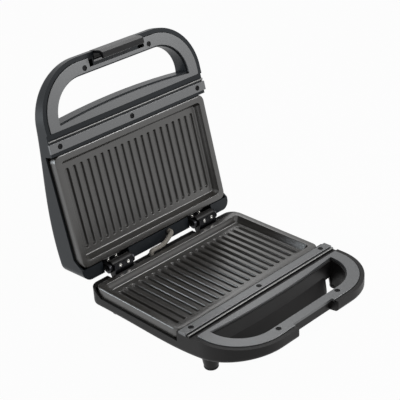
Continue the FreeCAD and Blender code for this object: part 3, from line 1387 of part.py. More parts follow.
def latch_clip():
    """Latch across the lid's handle, written like the base: a web on a pin boss, with a nose."""
    half = size("latch_width") / 2
    face = LATCH_FACE
    top = LATCH_PIN_Z - size("latch_top")
    tip = DECK + size("latch_reach")
    nose = face + size("latch_nose")
    web = face + size("latch_web")
    catch = tip - size("latch_nose_height")
    pin_y, pin_z = LATCH_PIN_Y, LATCH_PIN_Z
    boss = size("latch_boss")
    outline = polygon_edges([
        (face + 1.2, top), (face, top + 3), (face, tip - 5), (face + 2.4, tip), (nose - 0.8, tip),
        (nose, tip - 1.2), (nose, catch), (web + 1.6, catch - 1.8), (web, catch - 4), (web, pin_z + 5),
        (pin_y, pin_z + boss * 0.97), (pin_y, top + 0.6),
    ])
    clip = across(outline, half)
    barrel = rod(Vector(-half, pin_y, pin_z), Vector(half, pin_y, pin_z), boss)
    clip = clip.fuse(barrel).removeSplitter()
    radius = size("latch_pin_radius") + size("pin_fit")
    return clip.cut(rod(Vector(-half - 1, pin_y, pin_z), Vector(half + 1, pin_y, pin_z), radius))


def lamp_holder():
    """Block on the lid's deck that holds the two lamps."""
    half = lamp_block_half()
    centre = size("lamp_centre")
    depth = size("lamp_radius") + 2.5
    top = CEILING_Z - SEAT / 2
    return block(centre - half, centre + half, LAMP_Y - depth, LAMP_Y + depth,
                 top - size("lamp_block_height"), top)


# ---------------------------------------------------------------- the whole press


def build():
    """Makes every piece of the press."""
    plate = keep(griddle_plate(), "base_griddle_plate")
    mirrored(plate, "lid_griddle_plate")
    strip = keep(front_strip(), "base_front_strip")
    mirrored(strip, "lid_front_strip")
    rod_obj = bound_cylinder(
        "TrimRod", "rod_radius", "casing_width - 1", "0 - ( casing_width - 1 ) / 2", ROD_MID,
        "deck_height - strip_thickness + rod_radius + seat_gap / 4", axis="x")
    trim = keep(rod_obj, "base_trim_rod")
    mirrored(trim, "lid_trim_rod")

    lip_front = COVER_FRONT + size("bar_lip")
    notch = size("bar_notch_width") / 2
    shape_piece("base_handle_cover", handle_cover(notch, COVER_FRONT - 5, lip_front))
    notch = size("latch_slot_width") / 2
    lid_notch = flip(handle_cover(notch, COVER_FRONT - 5, HOLE_FRONT - size("notch_ledge")))
    shape_piece("lid_handle_cover", lid_notch, lid=True)

    shape_piece("base_casing", base_casing())
    shape_piece("lid_casing", flip(lid_casing()), lid=True)

    down = Vector(0, 0, -1)
    strip_set = group([casing_screw(place, down) for place in strip_screw_places()])
    cover_set = group([casing_screw(place, down) for place in cover_screw_places()])
    for name, shape in (
        ("strip_screws", strip_set),
        ("cover_screws", cover_set),
        ("pan_screws", pan_screws()),
        ("heating_element", element()),
        ("element_clamps", clamps()),
        ("reflector_pan", pan()),
    ):
        shape_piece("base_" + name, shape)
        shape_piece("lid_" + name, flip(shape), lid=True)

    front, rear = foot_places()
    shape_piece("front_foot_pads", foot_pads(front))
    shape_piece("rear_foot_pads", foot_pads(rear))

    floor = "deck_height - belly_height + casing_wall"
    terminal = bound_box(
        "Terminal", "terminal_width", "terminal_depth", "terminal_height",
        "0 - terminal_width / 2", STRIP_MID + " - terminal_offset - terminal_depth / 2", floor)
    keep(terminal, "terminal_block")
    fuse = bound_cylinder(
        "Fuse", "fuse_radius", "fuse_length", "0 - fuse_length / 2", PLATE_Y,
        PLATE_LOW + " - seat_gap - pan_height - fuse_radius - seat_gap / 2", axis="x")
    keep(fuse, "thermal_fuse")
    shape_piece("base_leads", base_leads())
    shape_piece("cord_inlet_bush", inlet_bush())
    shape_piece("base_sleeve_grommet", grommet(size("sleeve_base_x"), BASE_LEDGE_Z))
    shape_piece("lid_sleeve_grommet", flip(grommet(size("sleeve_lid_x"), LID_LEDGE_Z)), lid=True)

    for side, word in ((-1, "left"), (1, "right")):
        x = side * HINGE_X
        shape_piece("base_hinge_plate_" + word, hinge_plate(x))
        shape_piece("lid_hinge_arm_" + word, flip(hinge_arm(x)), lid=True)
        sign = "0 - " if side < 0 else ""
        reach = "knuckle_width / 2 + ear_gap + ear_thickness + pin_overhang"
        pin = bound_cylinder(
            "HingePin" + word, "pin_radius", "2 * ( " + reach + " )",
            sign + HINGE_MID + " - ( " + reach + " )", "hinge_setback",
            "deck_height + closed_gap / 2", axis="x")
        keep(pin, "hinge_pin_" + word)
    shape_piece("base_hinge_screws", hinge_screws())
    shape_piece("lid_hinge_screws", flip(arm_screws()), lid=True)
    shape_piece("wire_sleeve", sleeve())

    thermostat = bound_cylinder(
        "Thermostat", "thermostat_radius", "thermostat_height", "0", PLATE_Y,
        PLATE_LOW + " - seat_gap - pan_height - seat_gap / 2 - thermostat_height")
    mirrored(thermostat, "thermostat")
    holder = shape_piece("lamp_holder", flip(lamp_holder()), lid=True)
    lens_top = "deck_height - strip_thickness - casing_ceiling - seat_gap - lamp_block_height"
    for word, sign in (("power", "-"), ("ready", "+")):
        lens = bound_cylinder(
            "Lens" + word, "lamp_radius", lens_top + " - ( deck_height - lamp_reach )",
            "lamp_centre " + sign + " lamp_spacing / 2", STRIP_MID + " - lamp_offset",
            "deck_height - lamp_reach")
        mirrored(lens, word + "_lamp_lens")
    shape_piece("lid_leads", flip(lid_leads()), lid=True)

    pin_length = "latch_width + 2 * latch_side_fit + 4"
    latch_pin = bound_cylinder(
        "LatchPin", "latch_pin_radius", pin_length, "0 - ( " + pin_length + " ) / 2",
        LATCH_PIN_MID, "deck_height - latch_pivot_rise", axis="x")
    mirrored(latch_pin, "latch_pin")
    shape_piece("latch_clip", flip(latch_clip()), lid=True)


def check():
    """Stops if any object failed or any piece has a bad shape."""
    for obj in doc.Objects:
        if "Invalid" in obj.State or "Error" in obj.State:
            raise RuntimeError("%s (%s) failed: %s" % (obj.Name, obj.Label, obj.State))
    for obj in pieces:
        if obj.Shape.isNull() or not obj.Shape.isValid():
            raise RuntimeError("%s has a bad shape" % obj.Label)


def write():
    """Writes each piece to its own STEP file."""
    os.makedirs("parts", exist_ok=True)
    for obj in pieces:
        obj.Shape.exportStep("parts/%s.step" % obj.Label)


build()
doc.recompute()
check()
write()
print("%d pieces" % len(pieces))
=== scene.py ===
"""Dresses the panini press: finishes for its CAD pieces, ribbed plates and a wire sleeve that are
shaped here, and a plain stage with a camera."""
import json
import math

import bpy
import numpy as np
from bpy.props import FloatProperty, FloatVectorProperty, IntProperty, PointerProperty
from mathutils import Matrix, Vector


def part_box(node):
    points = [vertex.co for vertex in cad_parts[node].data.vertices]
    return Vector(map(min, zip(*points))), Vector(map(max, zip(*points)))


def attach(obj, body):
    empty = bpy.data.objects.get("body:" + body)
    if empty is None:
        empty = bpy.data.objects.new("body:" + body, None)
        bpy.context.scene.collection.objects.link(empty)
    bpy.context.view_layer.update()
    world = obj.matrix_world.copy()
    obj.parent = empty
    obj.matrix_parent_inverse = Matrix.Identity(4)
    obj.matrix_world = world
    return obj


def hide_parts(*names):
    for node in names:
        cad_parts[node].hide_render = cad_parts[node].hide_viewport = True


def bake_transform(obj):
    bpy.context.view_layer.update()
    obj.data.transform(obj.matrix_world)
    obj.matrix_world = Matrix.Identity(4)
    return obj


bl_info = {
    "name": "Panini press",
    "version": (1, 0, 0),
    "blender": (4, 5, 0),
    "location": "3D Viewport > Sidebar > Panini press",
    "description": "Finishes, ribbed plates, wire sleeve and stage for a panini press",
    "category": "Object",
}

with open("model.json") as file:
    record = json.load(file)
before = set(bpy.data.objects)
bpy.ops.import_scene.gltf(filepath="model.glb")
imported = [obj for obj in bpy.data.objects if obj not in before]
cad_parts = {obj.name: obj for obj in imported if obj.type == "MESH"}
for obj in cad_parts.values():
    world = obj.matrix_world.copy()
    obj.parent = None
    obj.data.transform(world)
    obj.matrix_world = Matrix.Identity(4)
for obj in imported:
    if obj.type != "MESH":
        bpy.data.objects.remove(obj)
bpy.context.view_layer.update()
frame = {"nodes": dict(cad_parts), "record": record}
MM = 0.001
MIX_FIRST, MIX_SECOND, MIX_RESULT = 6, 7, 2  # the Mix node's sockets for colours


def joint(name):
    """The record's joint of that name."""
    return next(found for found in frame["record"]["behaviour"]["joints"] if found["name"] == name)


HINGE = Vector(joint("lid_hinge")["pos_m"])
OPEN_ANGLE = math.radians(max(joint("lid_hinge")["range_deg"]))


# ---------------------------------------------------------------- colours and nodes


def linear(code):
    """Linear red, green and blue of an sRGB hex colour."""
    parts = [int(code[start:start + 2], 16) / 255 for start in (0, 2, 4)]
    return [part / 12.92 if part <= 0.04045 else ((part + 0.055) / 1.055) ** 2.4 for part in parts]


def opaque(colour):
    """A colour with alpha 1, as the sockets want it."""
    return (*colour[:3], 1.0)


def scaled(colour, share):
    """A colour with each of its parts times `share`."""
    return [part * share for part in colour]


def add_node(tree, kind, settings=None, inputs=None, links=None):
    """Adds a node, sets its properties and input values, and links its inputs to other sockets."""
    made = tree.nodes.new("ShaderNode" + kind)
    for name, value in (settings or {}).items():
        setattr(made, name, value)
    for name, value in (inputs or {}).items():
        made.inputs[name].default_value = value
    for name, socket in (links or {}).items():
        tree.links.new(socket, made.inputs[name])
    return made


def new_finish(name):
    """An empty material, its node tree, its shader and its object coordinates."""
    finish = bpy.data.materials.new(name)
    finish.use_nodes = True
    tree = finish.node_tree
    tree.nodes.clear()
    output = add_node(tree, "OutputMaterial")
    shader = add_node(tree, "BsdfPrincipled")
    tree.links.new(shader.outputs["BSDF"], output.inputs["Surface"])
    place = add_node(tree, "TexCoord").outputs["Object"]
    return finish, tree, shader, place


def noise_at(tree, place, scale, detail):
    """A noise with `scale` waves to the metre."""
    noise = add_node(
        tree, "TexNoise", inputs={"Scale": scale, "Detail": detail}, links={"Vector": place})
    return noise.outputs["Fac"]


def two_tone(tree, value, low, high, start=0.0, end=1.0):
    """A colour that runs from `low` to `high` as the value goes from `start` to `end`."""
    ramp = add_node(tree, "ValToRGB", links={"Fac": value})
    first, last = ramp.color_ramp.elements
    first.position, last.position = start, end
    first.color, last.color = opaque(low), opaque(high)
    return ramp.outputs["Color"]


def mottled(tree, place, low, high, scale, detail=3.0):
    """A colour that wanders between `low` and `high` with a noise; returns both."""
    noise = noise_at(tree, place, scale, detail)
    return two_tone(tree, noise, low, high, start=0.35, end=0.65), noise


def coloured(tree, shader, colour):
    """Joins a colour to the shader."""
    tree.links.new(colour, shader.inputs["Base Color"])


def roughened(tree, shader, value, low, high):
    """Spreads the shader's roughness between `low` and `high` by a number between 0 and 1."""
    spread = add_node(
        tree, "MapRange", inputs={"To Min": low, "To Max": high}, links={"Value": value})
    tree.links.new(spread.outputs["Result"], shader.inputs["Roughness"])


def bumped(tree, shader, height, distance):
    """Joins a height to the shader as a bump `distance` metres deep."""
    bump = add_node(
        tree, "Bump", inputs={"Strength": 1.0, "Distance": distance}, links={"Height": height})
    tree.links.new(bump.outputs["Normal"], shader.inputs["Normal"])


def moulded_plastic(name, colour, shade, roughness):
    """Moulded glass-filled nylon: a spark-eroded mould leaves a fine even grain that breaks up its
    soft sheen. The grain is drawn about 1 mm coarse so that it shows."""
    grain, patches, sway = 900.0, 25.0, 0.05
    finish, tree, shader, place = new_finish(name)
    tint, _ = mottled(tree, place, scaled(colour, shade), colour, grain)
    coloured(tree, shader, tint)
    fine = noise_at(tree, place, grain, 2.0)
    broad = noise_at(tree, place, patches, 2.0)
    roughened(tree, shader, broad, roughness - sway, roughness + sway)
    bumped(tree, shader, fine, 0.03 * MM)
    shader.inputs["IOR"].default_value = 1.38
    return finish


def silver_lacquer(name, colour, roughness):
    """Silver lacquer on moulded plastic: tiny aluminium flakes under a satin clear coat, so it is
    bright where the light glances off and much darker elsewhere."""
    cloud, flakes, sway = 1100.0, 1400.0, 0.05
    finish, tree, shader, place = new_finish(name)
    tint, _ = mottled(tree, place, scaled(colour, 0.90), colour, cloud, 2.0)
    coloured(tree, shader, tint)
    flake = noise_at(tree, place, flakes, 1.0)
    roughened(tree, shader, flake, roughness - sway, roughness + sway)
    bumped(tree, shader, flake, 0.02 * MM)
    shader.inputs["Metallic"].default_value = 0.75
    return finish


def non_stick(name, colour, roughness):
    """PTFE non-stick on cast aluminium: sprayed and baked, faintly pebbled like orange peel, with
    small paler specks. The aluminium powder in it makes its sheen stronger than plain paint's, so
    the plate turned to the light looks grey and the one turned up looks black."""
    cloud, pebbles, sway = 500.0, 650.0, 0.06
    finish, tree, shader, place = new_finish(name)
    tint, _ = mottled(tree, place, scaled(colour, 0.82), colour, cloud)
    specks = add_node(tree, "TexVoronoi", inputs={"Scale": 420.0}, links={"Vector": place})
    near = add_node(
        tree, "MapRange",
        inputs={"From Min": 0.10, "From Max": 0.22, "To Min": 0.35, "To Max": 0.0},
        links={"Value": specks.outputs["Distance"]})
    speckled = add_node(
        tree, "Mix", {"data_type": "RGBA"}, links={"Factor": near.outputs["Result"]})
    tree.links.new(tint, speckled.inputs[MIX_FIRST])
    speckled.inputs[MIX_SECOND].default_value = opaque(scaled(colour, 1.9))
    coloured(tree, shader, speckled.outputs[MIX_RESULT])
    peel = noise_at(tree, place, pebbles, 2.0)
    roughened(tree, shader, peel, roughness - sway, roughness + sway)
    bumped(tree, shader, peel, 0.05 * MM)
    shader.inputs["IOR"].default_value = 2.1
    return finish


def bright_metal(name, colour, roughness, grain=(1.0, 60.0, 60.0)):
    """Drawn or rolled metal: fine lines stretch the highlights. `grain` is how close the lines lie
    along each axis; equal numbers give the even look of a plated or stamped piece."""
    finish, tree, shader, place = new_finish(name)
    drawn = add_node(tree, "Mapping", links={"Vector": place})
    drawn.inputs["Scale"].default_value = grain
    lines = noise_at(tree, drawn.outputs["Vector"], 30.0, 3.0)
    roughened(tree, shader, lines, roughness - 0.06, roughness + 0.08)
    coloured(tree, shader, two_tone(tree, lines, scaled(colour, 0.85), colour))
    bumped(tree, shader, lines, 0.01 * MM)
    shader.inputs["Metallic"].default_value = 1.0
    return finish


def soft_rubber(name, colour):
    """Moulded silicone rubber: matt, a little dusty, with no clear highlight."""
    finish, tree, shader, place = new_finish(name)
    tint, dust = mottled(tree, place, scaled(colour, 0.7), colour, 300.0)
    coloured(tree, shader, tint)
    roughened(tree, shader, dust, 0.65, 0.85)
    bumped(tree, shader, dust, 0.04 * MM)
    return finish


def clear_lens(name, colour):
    """Tinted polycarbonate lens: glossy, with light from within the colour."""
    finish, tree, shader, place = new_finish(name)
    tint, cloud = mottled(tree, place, scaled(colour, 0.6), colour, 200.0)
    coloured(tree, shader, tint)
    roughened(tree, shader, cloud, 0.08, 0.16)
    shader.inputs["IOR"].default_value = 1.58
    shader.inputs["Transmission Weight"].default_value = 0.25
    return finish


def woven_sleeve(name, colour, dark):
    """Braided glass-fibre sleeve: pale flat strands that cross at 45 degrees, read from the
    sleeve's own UV map, which is in millimetres. The strands are drawn about 1 mm wide so that
    they show. The low gaps between them are darkened with `dark`: painted shade."""
    finish, tree, shader, _ = new_finish(name)
    uv = add_node(tree, "UVMap", {"uv_map": "along"}).outputs["UV"]
    weave = add_node(tree, "Math", {"operation": "MAXIMUM"})
    for number, turn in enumerate((1.0, -1.0)):
        axis = add_node(tree, "Mapping", links={"Vector": uv})
        axis.inputs["Rotation"].default_value = (0, 0, turn * math.radians(45))
        band = add_node(
            tree, "TexWave", {"wave_type": "BANDS", "bands_direction": "X"},
            {"Scale": 1.1, "Distortion": 0.3}, {"Vector": axis.outputs["Vector"]})
        tree.links.new(band.outputs["Fac"], weave.inputs[number])
    height = weave.outputs["Value"]
    # painted shade: where the weave's height is low, between the strands, the colour runs to `dark`
    coloured(tree, shader, two_tone(tree, height, dark, colour, start=0.25, end=0.85))
    roughened(tree, shader, height, 0.75, 0.5)
    bumped(tree, shader, height, 0.2 * MM)
    return finish


def dress(nodes, finish):
    """Gives CAD nodes a finish through their material slots."""
    for name in nodes:
        for holder in frame["nodes"][name].material_slots:
            holder.material = finish


# ---------------------------------------------------------------- meshes


def mesh_piece(name, points, faces, finish, sharp, body=None, replaced=None):
    """A finished piece: a mesh at the origin, smooth but for edges that turn by more than `sharp`,
    riding on a CAD body if one is given."""
    mesh = bpy.data.meshes.new(name)
    mesh.from_pydata(np.asarray(points).tolist(), [], [tuple(face) for face in faces])
    mesh.validate()
    mesh.materials.append(finish)
    mesh.polygons.foreach_set("use_smooth", np.ones(len(mesh.polygons), bool))
    mesh.update()
    made = bpy.data.objects.new(name, mesh)
    bpy.context.scene.collection.objects.link(made)
    mesh.set_sharp_from_angle(angle=sharp)
    if body:
        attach(made, body)
    if replaced:
        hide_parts(*replaced)
    return made


def grid_faces(rows, columns, wrap=False):
    """Quads of a grid of points, row after row; with `wrap` each row closes on itself."""
    count = columns if wrap else columns - 1
    row, column = np.meshgrid(np.arange(rows - 1), np.arange(count), indexing="ij")
    after = (column + 1) % columns
    quads = np.stack([
        row * columns + column, row * columns + after,
        (row + 1) * columns + after, (row + 1) * columns + column], axis=-1)
    return quads.reshape(-1, 4)


def to_lid(points):
    """Carries points written for the base to the open lid: mirrored in the hinge plane, then
    turned about the hinge axis by the opening angle."""
    points = np.asarray(points, float).copy()
    ahead = points[:, 1] - HINGE.y
    up = -(points[:, 2] - HINGE.z)
    cosine, sine = math.cos(OPEN_ANGLE), math.sin(OPEN_ANGLE)
    points[:, 1] = HINGE.y + ahead * cosine + up * sine
    points[:, 2] = HINGE.z - ahead * sine + up * cosine
    return points


# ---------------------------------------------------------------- ribbed plates


def smooth_step(value, low, high):
    """0 below `low`, 1 above `high`, and a smooth S between."""
    share = np.clip((value - low) / (high - low), 0, 1)
    return share * share * (3 - 2 * share)


def plate_profile(sizes):
    """Offset from the plate's outline and height above its foot, from the foot up the outer wall,
    over the rounded rim, down the drafted inner wall and over its fillet to the floor."""
    height = sizes.plate_height
    edge, lip, foot = sizes.plate_edge, sizes.rim_edge, sizes.floor_fillet
    rim, depth = sizes.plate_rim, sizes.recess_depth
    quarter = np.linspace(0, math.pi / 2, 6)
    line = [(0.0, 0.0), (0.0, (height - edge) / 2)]
    line += [(edge - edge * math.cos(a), height - edge + edge * math.sin(a)) for a in quarter]
    top = rim - lip
    line += [((edge + top) / 2, height)]
    line += [(top + lip * math.sin(a), height - lip + lip * math.cos(a)) for a in quarter]
    low = height - depth
    run = sizes.wall_draft * (depth - lip - foot)
    start = rim + run
    line += [(rim + run / 2, (height - lip + low + foot) / 2)]
    line += [(start + foot - foot * math.cos(a), low + foot - foot * math.sin(a)) for a in quarter]
    return np.array(line)


def groove_centres(sizes):
    """The grooves' centre lines, evenly spaced about the plate's middle."""
    count = sizes.groove_count
    return (np.arange(count) - (count - 1) / 2) * sizes.groove_pitch


def groove_straight(sizes):
    """Half the length of a groove between its rounded ends."""
    return sizes.groove_length / 2 - sizes.groove_width / 2


def plate_lines(sizes, half_x, half_y, offsets):
    """Places of the grid's lines, left to right and front to back: the profile's offsets at each
    border, and between them lines that lie close together over the grooves' sides and ends."""
    margin_x, margin_y = 1.2 * MM, 1.0 * MM
    straight = groove_straight(sizes)
    border_x, border_y = half_x - offsets[-1], half_y - offsets[-1]
    side = np.array([0.0, 0.6, 1.0, 1.3, 1.6, 1.9, 2.2, 2.5, 2.8, 3.1, 3.5]) * MM
    around = np.unique(np.concatenate([-side, side]))
    across = (groove_centres(sizes)[:, None] + around[None, :]).ravel()
    across = np.unique(np.concatenate([across, [-border_x + margin_x, border_x - margin_x]]))
    ends = straight + np.concatenate([[0.0], side[1:]])
    along = np.concatenate([np.linspace(0, straight, 5)[:-1], ends])
    along = np.concatenate([along, np.linspace(along[-1], border_y - margin_y, 4)[1:]])
    along = np.unique(np.concatenate([-along, along]))
    return (np.concatenate([-half_x + offsets, across, half_x - offsets[::-1]]),
            np.concatenate([-half_y + offsets, along, half_y - offsets[::-1]]))


def from_border(lines):
    """Each line's number, counted from the nearer border."""
    count = np.arange(len(lines))
    return np.minimum(count, count[::-1])


def groove_fall(sizes, x, y):
    """How far the floor falls into a groove: its depth by a smooth step of the distance to the
    nearest groove's centre line, which ends where the rounded ends begin."""
    pitch, centres = sizes.groove_pitch, groove_centres(sizes)
    shift = 0.5 * ((sizes.groove_count - 1) % 2)  # an even count has no groove in the middle
    nearest = (np.round(x / pitch - shift) + shift) * pitch
    nearest = np.clip(nearest, centres[0], centres[-1])
    distance = np.hypot(x - nearest, np.maximum(np.abs(y) - groove_straight(sizes), 0))
    drop = 1 - smooth_step(distance, sizes.groove_floor, sizes.groove_shoulder)
    return sizes.groove_depth * drop


def plate_points(sizes, low, high, foot_z):
    """A plate's top as one grid. Its outer rings follow the profile round a rectangle whose corner
    radius shrinks with the offset: near a corner a point at distance s along its leg moves to the
    arc at (1 - s / r) of an eighth turn. Inside, the floor falls into the grooves."""
    shrink, least_radius = 0.45, 1.2 * MM
    profile = plate_profile(sizes)
    offsets, rings = profile[:, 0], len(profile)
    half_x, half_y = (high.x - low.x) / 2, (high.y - low.y) / 2
    lines_x, lines_y = plate_lines(sizes, half_x, half_y, offsets)
    plain_x, plain_y = np.meshgrid(lines_x, lines_y)
    ring_x, ring_y = np.meshgrid(from_border(lines_x), from_border(lines_y))
    nearer = np.minimum(ring_x, ring_y)
    ring = np.minimum(nearer, rings - 1)
    offset = offsets[ring]
    from_x = half_x - np.abs(plain_x)
    from_y = half_y - np.abs(plain_y)
    near_x = ring_x <= ring_y
    leg = np.maximum(np.where(near_x, from_y, from_x) - offset, 0)
    radius = np.maximum(sizes.plate_corner - offset * shrink, least_radius)
    share = np.clip(leg / radius, 0, 1)
    angle = (1 - share) * math.pi / 4
    normal = offset + radius - radius * np.cos(angle)
    tangent = offset + radius - radius * np.sin(angle)
    bent = (nearer < rings) & (share < 1)
    x = np.sign(plain_x) * (half_x - np.where(bent, np.where(near_x, normal, tangent), from_x))
    y = np.sign(plain_y) * (half_y - np.where(bent, np.where(near_x, tangent, normal), from_y))
    height = profile[:, 1][ring]
    height = np.where(nearer >= rings, height - groove_fall(sizes, x, y), height)
    middle_x, middle_y = (low.x + high.x) / 2, (low.y + high.y) / 2
    points = np.stack([x + middle_x, y + middle_y, height + foot_z], axis=-1)
    return points.reshape(-1, 3), len(lines_y), len(lines_x)


def make_plate(sizes, name, body, finish):
    """The griddle plate of one half, "base" or "lid": its top grid closed by one flat face
    underneath. The lid's is the base's carried over."""
    low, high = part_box("base_griddle_plate")
    foot_z = high.z - sizes.plate_height
    points, rows, columns = plate_points(sizes, low, high, foot_z)
    faces = grid_faces(rows, columns).tolist()
    index = np.arange(rows * columns).reshape(rows, columns)
    rim = np.concatenate([index[0, :-1], index[:-1, -1], index[-1, :0:-1], index[:0:-1, 0]])
    faces.append(rim[::-1].tolist())
    if body == "lid":
        points = to_lid(points)
        faces = [face[::-1] for face in faces]
    mesh_piece(name, points, faces, finish, math.radians(50), body, [body + "_griddle_plate"])


# ---------------------------------------------------------------- wire sleeve


def run_lengths(line):
    """The length of a line up to each of its points."""
    steps = np.linalg.norm(np.diff(line, axis=0), axis=1)
    return np.concatenate([[0], np.cumsum(steps)])


def sleeve_line(sizes, steps=24):
    """The sleeve's middle line: straight runs between five corners, from the base's hole up, along
    the ledge, and up into the lid's hole. Each inner corner C gives way to the curve
    (1-t)^2 A + 2t(1-t) C + t^2 B, where A and B lie on the runs before and after it, `bend` of the
    shorter run away."""
    bend, end_gap, past_hole, back_step = 0.44, 0.3 * MM, 4 * MM, MM
    base_low, base_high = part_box("base_sleeve_grommet")
    lid_low, lid_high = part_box("lid_sleeve_grommet")
    low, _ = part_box("wire_sleeve")
    foot = (base_low + base_high) / 2
    hole = (lid_low + lid_high) / 2
    rest = base_high.z + sizes.sleeve_rest
    out = Vector((0, math.sin(OPEN_ANGLE), math.cos(OPEN_ANGLE)))
    corners = np.array([
        (foot.x, foot.y, low.z + end_gap), (foot.x, foot.y, rest),
        (hole.x - sizes.sleeve_slant, foot.y - back_step, rest),
        hole - out * sizes.sleeve_lead, hole + out * past_hole])
    runs = np.linalg.norm(np.diff(corners, axis=0), axis=1)
    share = np.linspace(0, 1, steps)[:, None]
    line = [corners[:1]]
    for number in range(1, len(corners) - 1):
        reach = bend * min(runs[number - 1], runs[number])
        here = corners[number]
        before = here + (corners[number - 1] - here) / runs[number - 1] * reach
        after = here + (corners[number + 1] - here) / runs[number] * reach
        line.append((1 - share) ** 2 * before + 2 * share * (1 - share) * here + share ** 2 * after)
    line = np.concatenate(line + [corners[-1:]])
    length = run_lengths(line)
    even = np.linspace(0, length[-1], 6 * steps)
    return np.stack([np.interp(even, length, line[:, axis]) for axis in range(3)], axis=1)


def cross_directions(line):
    """Two directions square to a line at each point. The first is also square to one fixed
    direction that the line never runs along, so that the pair doesn't twist."""
    tangent = np.gradient(line, axis=0)
    tangent /= np.linalg.norm(tangent, axis=1)[:, None]
    side = np.cross(tangent, [0.35, 1.0, 0.1])
    side /= np.linalg.norm(side, axis=1)[:, None]
    return side, np.cross(tangent, side)


def make_sleeve(sizes, finish):
    """One braided sleeve: a circle carried along the middle line, its ends closed."""
    round_steps, stiff = 28, 12
    line = sleeve_line(sizes)
    side, up = cross_directions(line)
    radius = sizes.sleeve_radius
    angles = np.linspace(0, 2 * math.pi, round_steps, endpoint=False)
    ring = (np.cos(angles)[None, :, None] * side[:, None, :]
            + np.sin(angles)[None, :, None] * up[:, None, :])
    points = (line[:, None, :] + radius * ring).reshape(-1, 3)
    last = (len(line) - 1) * round_steps
    faces = grid_faces(len(line), round_steps, wrap=True).tolist()
    faces.append(list(range(round_steps))[::-1])
    faces.append(list(range(last, last + round_steps)))
    coordinates = np.stack(np.broadcast_arrays(
        angles[None, :] * radius / MM, run_lengths(line)[:, None] / MM), axis=-1).reshape(-1, 2)
    made = mesh_piece("woven_wire_sleeve", points, faces, finish, math.radians(60))
    layer = made.data.uv_layers.new(name="along")
    corners = np.empty(len(made.data.loops), np.int64)
    made.data.loops.foreach_get("vertex_index", corners)
    layer.data.foreach_set("uv", coordinates[corners].ravel())
    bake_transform(made)
    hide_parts("wire_sleeve")


# ---------------------------------------------------------------- settings


def length_setting(name, description, millimetres):
    """A length with its default in millimetres."""
    return FloatProperty(name=name, description=description, default=millimetres * MM,
                         min=0.0, unit="LENGTH", precision=5)


def colour_setting(name, description, code):
    """A colour with its default as an sRGB hex."""
    return FloatVectorProperty(name=name, description=description, default=linear(code),
                               min=0.0, max=1.0, size=3, subtype="COLOR")


class PressSizes(bpy.types.PropertyGroup):
    """Sizes of the pieces that are shaped here."""
    plate_height: length_setting("Plate height", "Plate's edge, top to bottom", 14.8)
    plate_rim: length_setting("Plate rim", "Width of the flat rim", 8.3)
    plate_edge: length_setting("Plate edge", "Rounding of the plate's outer edge", 1.8)
    plate_corner: length_setting("Plate corner", "Outer corner radius in plan", 8.0)
    rim_edge: length_setting("Rim edge", "Rounding of the rim's inner edge", 0.7)
    recess_depth: length_setting("Recess depth", "Rim down to the ribbed floor", 8.5)
    floor_fillet: length_setting("Floor fillet", "Fillet between wall and floor", 1.5)
    wall_draft: FloatProperty(
        name="Wall draft", description="Slope of the inner wall, run per rise", default=0.5,
        min=0.0, max=0.6)
    groove_count: IntProperty(name="Grooves", description="Grooves in a plate", default=20, min=2)
    groove_pitch: length_setting("Groove pitch", "Groove to groove", 10.13)
    groove_length: length_setting("Groove length", "Length of a groove", 96.3)
    groove_width: length_setting("Groove width", "Groove at its mouth", 5.0)
    groove_floor: length_setting("Groove floor", "Half width of a groove's floor", 0.9)
    groove_shoulder: length_setting(
        "Groove shoulder", "Half width where the rib's top is flat", 2.9)
    groove_depth: length_setting("Groove depth", "Depth of a groove", 3.2)
    sleeve_radius: length_setting("Sleeve radius", "Radius of the wire sleeve", 2.75)
    sleeve_rest: length_setting("Sleeve rest", "Grommet's top up to the sleeve's middle", 4.4)
    sleeve_slant: length_setting(
        "Sleeve slant", "Lid's hole back to the sleeve's turn, across", 19.0)
    sleeve_lead: length_setting("Sleeve lead", "Last bend's corner to the lid's hole", 8.0)


class PressColours(bpy.types.PropertyGroup):
    """Colours of the finishes."""
    casing: colour_setting("Casing", "Moulded casings", "121010")
    # painted light: the lid is the base's dark plastic, made lighter and bluer here for the cool
    # light on its side
    lid_casing: colour_setting("Lid casing", "Moulded lid, with painted cool light", "262B30")
    silver: colour_setting("Covers", "Silver lacquer of covers and strips", "808182")
    coating: colour_setting("Coating", "Non-stick coating of the plates", "2E2B26")
    rod: colour_setting("Rods", "Plated trim rods", "757574")
    steel: colour_setting("Steel", "Hinge plates, arms and pins", "3C3C3F")
    bright_screw: colour_setting("Hinge screws", "Zinc-plated screws", "D6D5D2")
    dark_screw: colour_setting("Casing screws", "Blackened screws", "2A2A2B")
    latch: colour_setting("Latch", "Latch clip", "1E1E20")
    rubber: colour_setting("Rubber", "Pads and grommets", "1D1C1C")
    sleeve: colour_setting("Sleeve", "Woven sleeve's strands", "CFC9BE")
    # painted shade that darkens the braid between its strands
    sleeve_gap_shade: colour_setting("Sleeve gap shade", "Painted shade between the strands", "8F887C")
    red: colour_setting("Red lens", "Power lamp", "A3180F")
    green: colour_setting("Green lens", "Ready lamp", "1F8A3B")
    inner: colour_setting("Inner plastic", "Terminal block and lamp holder", "C2BBAC")


def settings():
    """The scene's sizes and colours."""
    return bpy.context.scene.press_sizes, bpy.context.scene.press_colours


# ---------------------------------------------------------------- operators


class PRESS_OT_casings(bpy.types.Operator):
    """Finish the casings, the latch, the pads and the grommets"""
    bl_idname = "press.casings"
    bl_label = "Casings"

    def execute(self, context):
        _, colours = settings()
        base = moulded_plastic("Base moulded nylon", colours.casing, shade=0.85, roughness=0.42)
        # painted light: the lid's colour is the casing's own, made lighter and bluer for the cool
        # light on its side
        lid = moulded_plastic("Lid moulded nylon with painted cool light", colours.lid_casing, shade=0.88, roughness=0.34)
        clip = moulded_plastic("Latch moulded nylon", colours.latch, shade=0.85, roughness=0.30)
        dress(["base_casing"], base)
        dress(["lid_casing"], lid)
        dress(["latch_clip"], clip)
        rubber = soft_rubber("Moulded silicone rubber", colours.rubber)
        dress(["front_foot_pads", "rear_foot_pads", "base_sleeve_grommet", "lid_sleeve_grommet",
               "cord_inlet_bush"], rubber)
        return {"FINISHED"}


